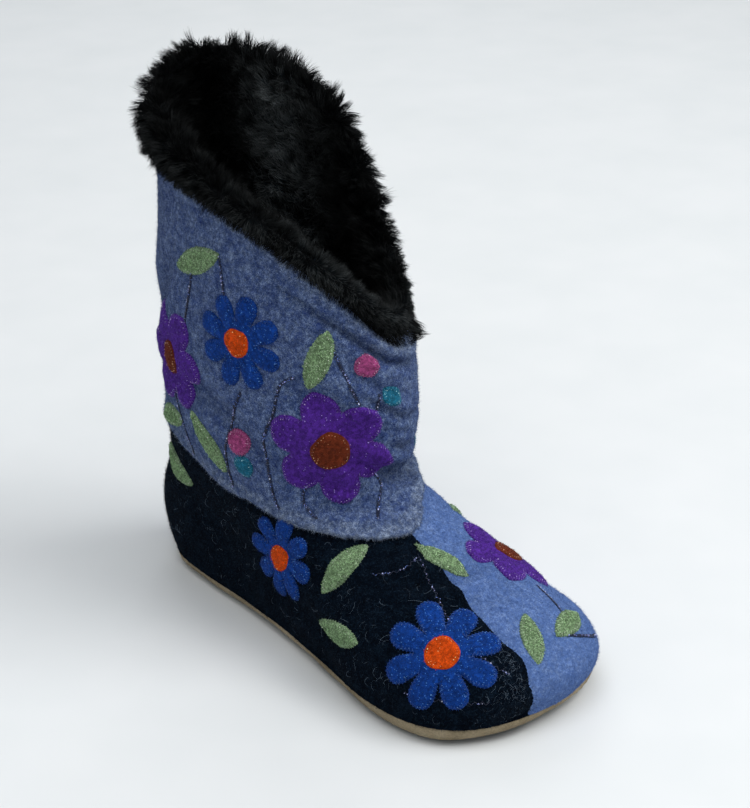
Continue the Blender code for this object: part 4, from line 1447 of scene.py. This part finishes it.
# A shape's face is a little uneven, in waves over x and y.
UNEVEN = 0.10
UNEVEN_X = 0.9
UNEVEN_Y = 0.8
UNEVEN_IN = 0.5
OUTLINE_STEP = 0.9
DISC_STEP = 0.7
DISC_LOBES = ((3.0, 0.03), (5.0, 0.02))
LEAST_POINTS = 12
STITCH_IN = 1.5
STITCH_OUT = 0.35
STITCH_STRAY = 0.2
STITCH_PITCH = 0.85
# The stitches pull a shape down along a line inside its edge.
STITCH_SINK = 0.42
SINK_IN = STITCH_IN * 0.7
SINK_WIDTH = 0.6
SINK_STARTS = 0.05
THREAD_RADIUS = 0.17
THREAD_RISE = THREAD_RADIUS * 0.8
# The share of a line's stitches that carry a flake of glitter.
STEM_FLAKES = 0.20
LINE_FLAKES = 0.42


def round_outline(radius, angle, step):
    """A closed outline at even steps, from its radius round an angle."""
    points = np.stack((radius * np.cos(angle), radius * np.sin(angle)), axis=-1)
    return even_path(points, step, LEAST_POINTS, closed=True)


def petal_outline(kind, reach, rng):
    """A flower's outline, cut by hand: each petal a little longer or shorter than the next."""
    petals, shares = PETALS[kind]
    angle = np.linspace(0.0, math.tau, petals * PETAL_ANGLES, endpoint=False)
    place = angle / math.tau * petals
    petal = np.floor(place)
    step = place - petal
    share = np.interp(np.minimum(step, 1.0 - step), PETAL_STEPS, shares)
    short = PETAL_SHORT * rng.uniform(size=petals)[petal.astype(int) % petals]
    return round_outline(reach * share * (1.0 - short * smooth(share * 2.0 - 1.0)), angle, OUTLINE_STEP)


def leaf_outline(reach, rng):
    """A leaf pointed at both ends, slightly bent."""
    angle = np.linspace(0.0, math.tau, LEAF_ANGLES, endpoint=False)
    x = np.cos(angle)
    slim = LEAF_SLIM * np.abs(np.sin(angle)) ** LEAF_POINTED * np.sign(np.sin(angle))
    bend = rng.uniform(-LEAF_BEND, LEAF_BEND) * (1.0 - x**2)
    points = np.stack((reach * x, reach * (slim + bend)), axis=-1)
    return even_path(points, OUTLINE_STEP, LEAST_POINTS, closed=True)


def disc_outline(reach, rng):
    """A disc cut by hand, with slight lobes."""
    angle = np.linspace(0.0, math.tau, DISC_ANGLES, endpoint=False)
    lobed = sum(depth * np.sin(angle * lobes + rng.uniform(*PHASES)) for lobes, depth in DISC_LOBES)
    return round_outline(reach * (1.0 + lobed), angle, DISC_STEP)


def edge_distance(points, outline):
    """Each flat point's distance to the outline, below 0 outside it."""
    ends = np.roll(outline, -1, axis=0)
    run = ends - outline
    to_point = points[:, None, :] - outline
    share = np.clip((to_point * run).sum(-1) / (run * run).sum(-1), 0.0, 1.0)
    distance = np.linalg.norm(to_point - share[..., None] * run, axis=-1).min(axis=1)
    x, y = points[:, :1], points[:, 1:]
    crosses = (outline[:, 1] > y) != (ends[:, 1] > y)
    rise = np.where(run[:, 1] == 0.0, TINY, run[:, 1])
    at = outline[:, 0] + (y - outline[:, 1]) / rise * run[:, 0]
    inside = (crosses & (x < at)).sum(axis=1) % 2 == 1
    return np.where(inside, distance, -distance)


def cut_shape(outline):
    """A flat shape's points and triangles: its outline, lines inside that, and an even grid in the middle."""
    inside = []
    for depth in EDGE_DEPTHS:
        line = outline + inward(outline) * depth
        inside.append(line[edge_distance(line, outline) > depth * LINE_KEPT])
    low = outline.min(axis=0)
    high = outline.max(axis=0)
    x, y = np.meshgrid(np.arange(low[0], high[0], SHAPE_STEP), np.arange(low[1], high[1], SHAPE_STEP))
    x = x + SHAPE_STEP / 2.0 * (np.arange(x.shape[0]) % 2)[:, None]
    grid = np.stack((x.ravel(), y.ravel()), axis=-1)
    inside.append(grid[edge_distance(grid, outline) > GRID_DEPTH])
    points = [Vector(point) for point in np.concatenate((outline, *inside))]
    flat, _, faces, *_ = geometry.delaunay_2d_cdt(points, [], [list(range(len(outline)))], 1, WELD)
    return np.array([tuple(vert) for vert in flat]), np.array([face for face in faces if len(face) == 3])


class Chart:
    """Flat places round a centre on the felt, found by walking over it along straight rays."""

    def __init__(self, tree, level, turn, spin, reach):
        place, normal, _, _ = tree.find_nearest(Vector(spot(level, turn)))
        side = Vector((0.0, 0.0, 1.0)).cross(normal).normalized()
        up = normal.cross(side)
        spin = math.radians(spin)
        across = side * math.cos(spin) + up * math.sin(spin)
        along = up * math.cos(spin) - side * math.sin(spin)
        steps = math.ceil(reach * RAY_PAST / RAY_STEP) + 1
        self.tree = tree
        self.places = np.empty((RAYS, steps + 1, 3))
        for ray in range(RAYS):
            angle = ray * math.tau / RAYS
            heading = across * math.cos(angle) + along * math.sin(angle)
            here, facing = place, normal
            self.places[ray, 0] = here
            for i in range(steps):
                heading = (heading - facing * heading.dot(facing)).normalized()
                here, facing, _, _ = tree.find_nearest(here + heading * RAY_STEP)
                self.places[ray, i + 1] = here

    def at(self, flat, height=0.0):
        """Points over the felt at flat places, and the felt's normals there."""
        radius = np.hypot(flat[:, 0], flat[:, 1]) / RAY_STEP
        radius = np.minimum(radius, self.places.shape[1] - BEFORE_END)
        angle = np.arctan2(flat[:, 1], flat[:, 0]) % math.tau / math.tau * RAYS
        i = np.floor(radius).astype(int)
        j = np.floor(angle).astype(int) % RAYS
        k = (j + 1) % RAYS
        u = (radius - i)[:, None]
        v = (angle - np.floor(angle))[:, None]
        near = self.places[j, i] * (1.0 - v) + self.places[k, i] * v
        far = self.places[j, i + 1] * (1.0 - v) + self.places[k, i + 1] * v
        return on_felt(self.tree, near * (1.0 - u) + far * u, height)


def slab_height(depth, thick, rest):
    """Height of a sewn shape's face: round at its edge and pulled down along its stitches."""
    edge = thick * (1.0 - np.exp(-np.maximum(depth, 0.0) / EDGE_ROUND))
    return rest + edge - STITCH_SINK * bell(depth - SINK_IN, SINK_WIDTH) * (depth > SINK_STARTS)


def sew_shape(name, outline, chart, thick, rest, material, slot, node, rng):
    """A felt shape laid on the boot, with a skirt that goes down into the felt under it."""
    flat, triangles = cut_shape(outline)
    depth = edge_distance(flat, outline)
    depth[: len(outline)] = 0.0
    waves = np.sin(flat[:, 0] * UNEVEN_X + rng.uniform(*PHASES)) * np.sin(flat[:, 1] * UNEVEN_Y)
    waves *= depth > UNEVEN_IN
    points, normals = chart.at(flat, slab_height(depth, thick, rest) + UNEVEN * waves)
    count = len(outline)
    skirt = points[:count] - normals[:count] * (rest + SKIRT)
    i = np.arange(count)
    j = (i + 1) % count
    wall = np.stack((i, len(points) + i, len(points) + j, j), axis=-1)
    obj = mesh_object(name, np.concatenate((points, skirt)), [triangles, wall], [material])
    settle(obj, slot, node)
    return points, triangles


def tube(points, normals, radius, sides=4):
    """A thread along points: its points and faces."""
    tangent = unit(np.gradient(points, axis=0))
    across = unit(np.cross(tangent, normals))
    up = np.cross(across, tangent)
    angle = np.arange(sides) * math.tau / sides + math.pi / sides
    spokes = up[:, None, :] * np.cos(angle)[:, None] + across[:, None, :] * np.sin(angle)[:, None]
    made = points[:, None, :] + spokes * radius
    return made.reshape(-1, 3), grid_faces(len(points), sides)


# A flake: a small eight-sided body.
FLAKE_CORNERS = np.array(((1, 0, 0), (-1, 0, 0), (0, 1, 0), (0, -1, 0), (0, 0, 1), (0, 0, -1)), dtype=float)
FLAKE_FACES = np.array(
    ((0, 2, 4), (2, 1, 4), (1, 3, 4), (3, 0, 4), (2, 0, 5), (1, 2, 5), (3, 1, 5), (0, 3, 5))
)
FLAKE_SIZE = (0.16, 0.36)
LINE_FLAKE_SIZE = (0.20, 0.50)


class Threads:
    """Threads of one colour and the glitter flakes on them, gathered into two pieces."""

    def __init__(self):
        self.points = []
        self.faces = []
        self.flakes = []
        self.count = 0

    def add(self, points, normals, radius=THREAD_RADIUS):
        made, faces = tube(points, normals, radius)
        self.points.append(made)
        self.faces.append(faces + self.count)
        self.count += len(made)

    def strew(self, points, normals, share, rng):
        """Leaves flakes on a share of the points."""
        kept = rng.uniform(size=len(points)) < share
        self.flakes.append(points[kept] + normals[kept] * THREAD_RADIUS)

    def sew(self, name, material, glints, slot, rng, flake_size=FLAKE_SIZE):
        """Makes a piece of the threads and a piece of the flakes."""
        thread = mesh_object(name, np.concatenate(self.points), [np.concatenate(self.faces)], [material])
        centres = np.concatenate(self.flakes)
        size = rng.uniform(*flake_size, size=(len(centres), 1, 1))
        corners = centres[:, None, :] + FLAKE_CORNERS * size
        first = np.arange(len(centres))[:, None, None] * len(FLAKE_CORNERS)
        faces = (FLAKE_FACES + first).reshape(-1, 3)
        tones = np.repeat(rng.uniform(size=len(centres)), len(FLAKE_CORNERS))
        settle(thread, slot)
        loose_piece(f"{name}_glints", slot, corners, [faces], glints, {"tone": tones})


def zigzag(count, one_way, other_way):
    return np.where(np.arange(count) % 2 == 0, one_way, other_way)


def edge_stitches(threads, outline, chart, thick, rest, flakes, rng):
    """A zigzag over the edge of a shape."""
    fine = even_path(outline, STITCH_PITCH, LEAST_POINTS, closed=True)
    fine = fine[: len(fine) // 2 * 2]
    stray = rng.uniform(-STITCH_STRAY, STITCH_STRAY, size=len(fine))
    reach = zigzag(len(fine), STITCH_IN, -STITCH_OUT) + stray
    flat = fine + inward(fine) * reach[:, None]
    flat = np.concatenate((flat, flat[:1]))
    depth = edge_distance(flat, outline)
    height = np.where(depth > 0.0, slab_height(depth, thick, rest), 0.0) + THREAD_RISE
    points, normals = chart.at(flat, height)
    threads.add(points, normals)
    threads.strew(points[::2], normals[::2], flakes, rng)


# The kinds of sewn shape: the felt's colour and slot, the colours of the thread and its glints, the share of
# bright dots on the felt, and the share of the stitches that carry a flake of glitter.
Kind = namedtuple("Kind", ("felt", "slot", "thread", "glint", "specks", "flakes"), defaults=(0.03, 0.16))
KINDS = {
    "star_flower": Kind(
        (0.067, 0.019, 0.228), "purple_felt", (0.15, 0.06, 0.40), (0.55, 0.42, 0.90), flakes=0.55
    ),
    "star_flower_centre": Kind(
        (0.120, 0.022, 0.008), "rust_felt", (0.22, 0.06, 0.03), (0.75, 0.40, 0.20), flakes=0.6
    ),
    "daisy": Kind(
        (0.0045, 0.038, 0.215), "royal_blue_felt", (0.008, 0.055, 0.28), (0.10, 0.30, 0.75), specks=0.14
    ),
    "daisy_centre": Kind((0.560, 0.062, 0.004), "orange_felt", (0.62, 0.12, 0.015), (1.0, 0.60, 0.25)),
    "leaf": Kind((0.170, 0.262, 0.140), "sage_felt", (0.31, 0.43, 0.27), (0.66, 0.80, 0.58), 0.42, 0.30),
    "pink_berry": Kind((0.300, 0.055, 0.170), "pink_felt", (0.42, 0.14, 0.30), (0.9, 0.55, 0.75)),
    "teal_berry": Kind((0.012, 0.120, 0.200), "teal_felt", (0.04, 0.24, 0.36), (0.4, 0.8, 0.9)),
}
# How far a shape stands off the felt under it.
LIFT = 0.05
# The fibres on a square millimetre of a shape, or the short stitches on one that is embroidered.
SHAPE_FUZZ = 1.8
EMBROIDERED = {"leaf": 4.5}
SHAPE_FUZZ_LENGTH = (0.5, 1.4)
FUZZ_PALE = 1.8
STITCH_LENGTH = (0.9, 1.7)
STITCH_WIDTH = 0.28
STITCH_PALE = 2.6
STITCH_STAND = 0.12
STITCH_LIFT = 0.05


def sewn_shapes(tree):
    """Every sewn shape with its stitches and its fuzz."""
    rng = chance("shapes")
    wools = {name: plain_wool(kind.felt) for name, kind in KINDS.items()}
    felts = {}
    for name, kind in KINDS.items():
        felts[name] = shape_felt_material(kind.slot, wools[name], kind.specks, kind.glint)
    threads = {name: Threads() for name in KINDS}
    grounds = {name: [] for name in KINDS}

    def sew(kind, number, outline, chart, thick, rest=LIFT):
        name = f"{kind}_{number}"
        slot = KINDS[kind].slot
        ground = sew_shape(f"sewn_{name}", outline, chart, thick, rest, felts[kind], slot, name, rng)
        grounds[kind].append(ground)
        edge_stitches(threads[kind], outline, chart, thick, rest, KINDS[kind].flakes, rng)

    for number, (kind, *place, reach) in enumerate(FLOWERS, 1):
        chart = Chart(tree, *place, reach)
        sew(kind, number, petal_outline(kind, reach, rng), chart, THICK["petals"])
        disc = disc_outline(reach * DISC_REACH, rng)
        sew(f"{kind}_centre", number, disc, chart, THICK["disc"], LIFT + THICK["petals"] * DISC_REST)
    for number, (*place, reach) in enumerate(LEAVES, 1):
        sew("leaf", number, leaf_outline(reach, rng), Chart(tree, *place, reach), THICK["leaf"])
    for number, (kind, *place, reach) in enumerate(BERRIES, 1):
        sew(kind, number, disc_outline(reach, rng), Chart(tree, *place, reach), THICK["berry"])
    for name, kind in KINDS.items():
        thread = thread_material(f"{name}_thread", kind.thread, kind.glint)
        glints = glint_material(f"{name}_glint", kind.glint)
        threads[name].sew(f"{name}_stitches", thread, glints, kind.slot, rng)
    for name, ground in grounds.items():
        pale = shade(wools[name].base, STITCH_PALE if name in EMBROIDERED else FUZZ_PALE)
        shape_fuzz(name, ground, fuzz_material(f"{name}_fuzz", wools[name]._replace(pale=pale)), rng)


def shape_fuzz(kind, ground, material, rng):
    """Fibres on all the shapes of one kind, or the short stitches that cover them."""
    points = np.concatenate([item[0] for item in ground])
    starts = np.cumsum([0] + [len(item[0]) for item in ground])
    triangles = np.concatenate([item[1] + start for item, start in zip(ground, starts)])
    a, b, c = (points[triangles[:, k]] for k in range(3))
    area = np.linalg.norm(np.cross(b - a, c - a), axis=-1).sum() / 2.0
    count = int(area * EMBROIDERED.get(kind, SHAPE_FUZZ) * FINE)
    roots, normals, _ = scatter(points, triangles[:, (0, 1, 2, 2)], count, rng)
    ways = fuzz_ways(normals, rng)
    lengths = rng.uniform(*SHAPE_FUZZ_LENGTH, size=count)
    width = FUZZ_WIDTH
    if kind in EMBROIDERED:
        ways = unit(ways - normals * ((ways * normals).sum(-1, keepdims=True) - STITCH_STAND))
        roots = roots + normals * STITCH_LIFT
        lengths = rng.uniform(*STITCH_LENGTH, size=count)
        width = STITCH_WIDTH
    marks = {"tone": rng.uniform(size=count)}
    fibres(f"{kind}_fuzz", KINDS[kind].slot, roots, ways, lengths, width, material, rng, marks)


# ---------- Sewn lines ----------

# Stems sewn in dark glitter thread, as paths of levels and turns in degrees, and open zigzags on the foot.
STEMS = (
    ((9.35, -77), (8.9, -82), (8.3, -84), (7.15, -88)),
    ((8.4, -42), (8.0, -47), (7.6, -50), (7.15, -49)),
    ((9.75, -54), (9.6, -60), (9.3, -62), (8.85, -66), (8.0, -63), (7.15, -66)),
    ((10.2, -102), (9.8, -106), (9.5, -110)),
    ((10.45, -86), (10.2, -84), (10.0, -80)),
    ((8.75, -124), (8.2, -116), (7.15, -112)),
    ((9.9, -13), (9.5, -16), (9.2, -22)),
    ((8.7, -14), (8.2, -8), (7.6, -12), (7.15, -20)),
    ((9.7, -24), (10.1, -33), (10.3, -38)),
    ((8.5, 72), (8.0, 78), (7.15, 76)),
    ((9.1, 116), (8.6, 122), (7.15, 124)),
    ((9.2, 168), (8.6, 172), (7.15, 168)),
    ((9.8, 44), (9.4, 50), (9.2, 56)),
    ((8.6, 98), (9.0, 92), (9.5, 88), (10.1, 92)),
    ((4.3, 24), (3.7, 22), (3.3, 21)),
    ((3.0, 12), (2.4, 20), (1.6, 28)),
)
ZIGZAGS = (
    ((1.5, -26), (1.5, -38), (1.45, -50)),
    ((6.2, -14), (5.9, -26), (5.7, -42)),
    ((2.6, -20), (3.1, -25), (4.0, -24), (5.2, -21), (6.1, -16)),
    ((1.5, 40), (1.5, 62), (1.5, 84)),
)
STEM_SWING = 0.70
STEM_PITCH = 0.5
STEM_RADIUS = 0.38
STEM_WIDTH = 1.1
STEM_SINK = 0.30
LINE_SWING = 0.75
LINE_PITCH = 1.5
# A line's height over the felt, as a share of its thread's radius, and how far its swings differ.
LINE_RISE = 0.7
LINE_SWINGS = (0.8, 1.15)
GLITTER = ((0.003, 0.007, 0.034), (0.20, 0.33, 0.95), 0.20)
GLITTER_GLINT = (0.42, 0.46, 0.98)


def sewn_lines(tree):
    """Stems in a close zigzag and lines in an open one, all in one thread."""
    rng = chance("lines")
    threads = Threads()
    lines = [(path, STEM_PITCH, STEM_SWING, STEM_RADIUS, STEM_FLAKES) for path in STEMS]
    lines += [(path, LINE_PITCH, LINE_SWING, THREAD_RADIUS, LINE_FLAKES) for path in ZIGZAGS]
    for path, pitch, swing, radius, flakes in lines:
        points, normals = on_felt(tree, even_path(on_skin(path), pitch), radius * LINE_RISE)
        across = unit(np.cross(np.gradient(points, axis=0), normals))
        way = zigzag(len(points), swing, -swing) * rng.uniform(*LINE_SWINGS, size=len(points))
        threads.add(points + across * way[:, None], normals, radius)
        threads.strew(points + normals * radius, normals, flakes, rng)
    thread = thread_material("glitter_thread", *GLITTER)
    glints = glint_material("glitter_glint", GLITTER_GLINT)
    threads.sew("sewn_lines", thread, glints, "blue_felt", rng, LINE_FLAKE_SIZE)


# ---------- Stage ----------

FLOOR_HALF = 4.0
FLOOR_GREYS = ((0.3, (0.71, 0.735, 0.745)), (0.7, (0.74, 0.76, 0.77)))


def add_floor():
    mesh = bpy.data.meshes.new("floor")
    corners = [(x * FLOOR_HALF, y * FLOOR_HALF, 0.0) for x, y in ((-1, -1), (1, -1), (1, 1), (-1, 1))]
    mesh.from_pydata(corners, [], [(0, 1, 2, 3)])
    nodes = Nodes("floor_paint")
    colour = nodes.ramp(nodes.noise("floor"), FLOOR_GREYS)
    mesh.materials.append(nodes.finish(colour, roughness=1.0, specular=0.0))
    floor = bpy.data.objects.new("floor", mesh)
    bpy.context.scene.collection.objects.link(floor)


Light = namedtuple("Light", ("azimuth", "elevation", "distance", "size", "power", "colour"))
LIGHTS = {
    "key": Light(35.0, 50.0, 2.3, 1.45, 34.0, (1.0, 0.995, 0.98)),
    "fill": Light(-80.0, 30.0, 1.8, 1.4, 2.0, (0.93, 0.96, 1.0)),
    "top": Light(-50.0, 72.0, 1.5, 1.2, 10.5, (1.0, 1.0, 1.0)),
    "back": Light(140.0, 40.0, 1.7, 0.9, 5.5, (0.96, 0.98, 1.0)),
}
LIGHTS_TARGET = (0.0, 0.0, 0.1)
WORLD_COLOUR = (0.93, 0.96, 1.0, 1.0)
WORLD_STRENGTH = 0.36


def add_lights():
    for name, light in LIGHTS.items():
        data = bpy.data.lights.new(name, "AREA")
        data.energy = light.power
        data.color = light.colour
        data.size = light.size
        obj = bpy.data.objects.new(name, data)
        stand(obj, LIGHTS_TARGET, light.azimuth, light.elevation, light.distance)
    world = bpy.data.worlds.new("world")
    world.use_nodes = True
    background = world.node_tree.nodes["Background"]
    background.inputs["Color"].default_value = WORLD_COLOUR
    background.inputs["Strength"].default_value = WORLD_STRENGTH
    bpy.context.scene.world = world
    bpy.context.scene.view_settings.view_transform = "Standard"


HAIR_COLOUR = (0.20, 0.26, 0.34)


def main():
    add_floor()
    add_lights()
    backing = backing_material()
    felt = upper([foot_felt_material(), shaft_felt_material(), backing])
    edge = fuzz_material("hem_fuzz", HEM_WOOL_AND_HIGHLIGHT)
    fuzz = {"foot": foot_fuzz_material(), "shaft": shaft_fuzz_material(), "hem": edge, "collar": edge}
    felt_fuzz(felt, fuzz)
    outsole(leather_material())
    insole(backing)
    fur(backing, fur_material())
    tree = felt_tree(felt.rows)
    sewn_shapes(tree)
    sewn_lines(tree)
    stray_hairs(tree, fuzz_material("hairs", plain_wool(HAIR_COLOUR)))


main()
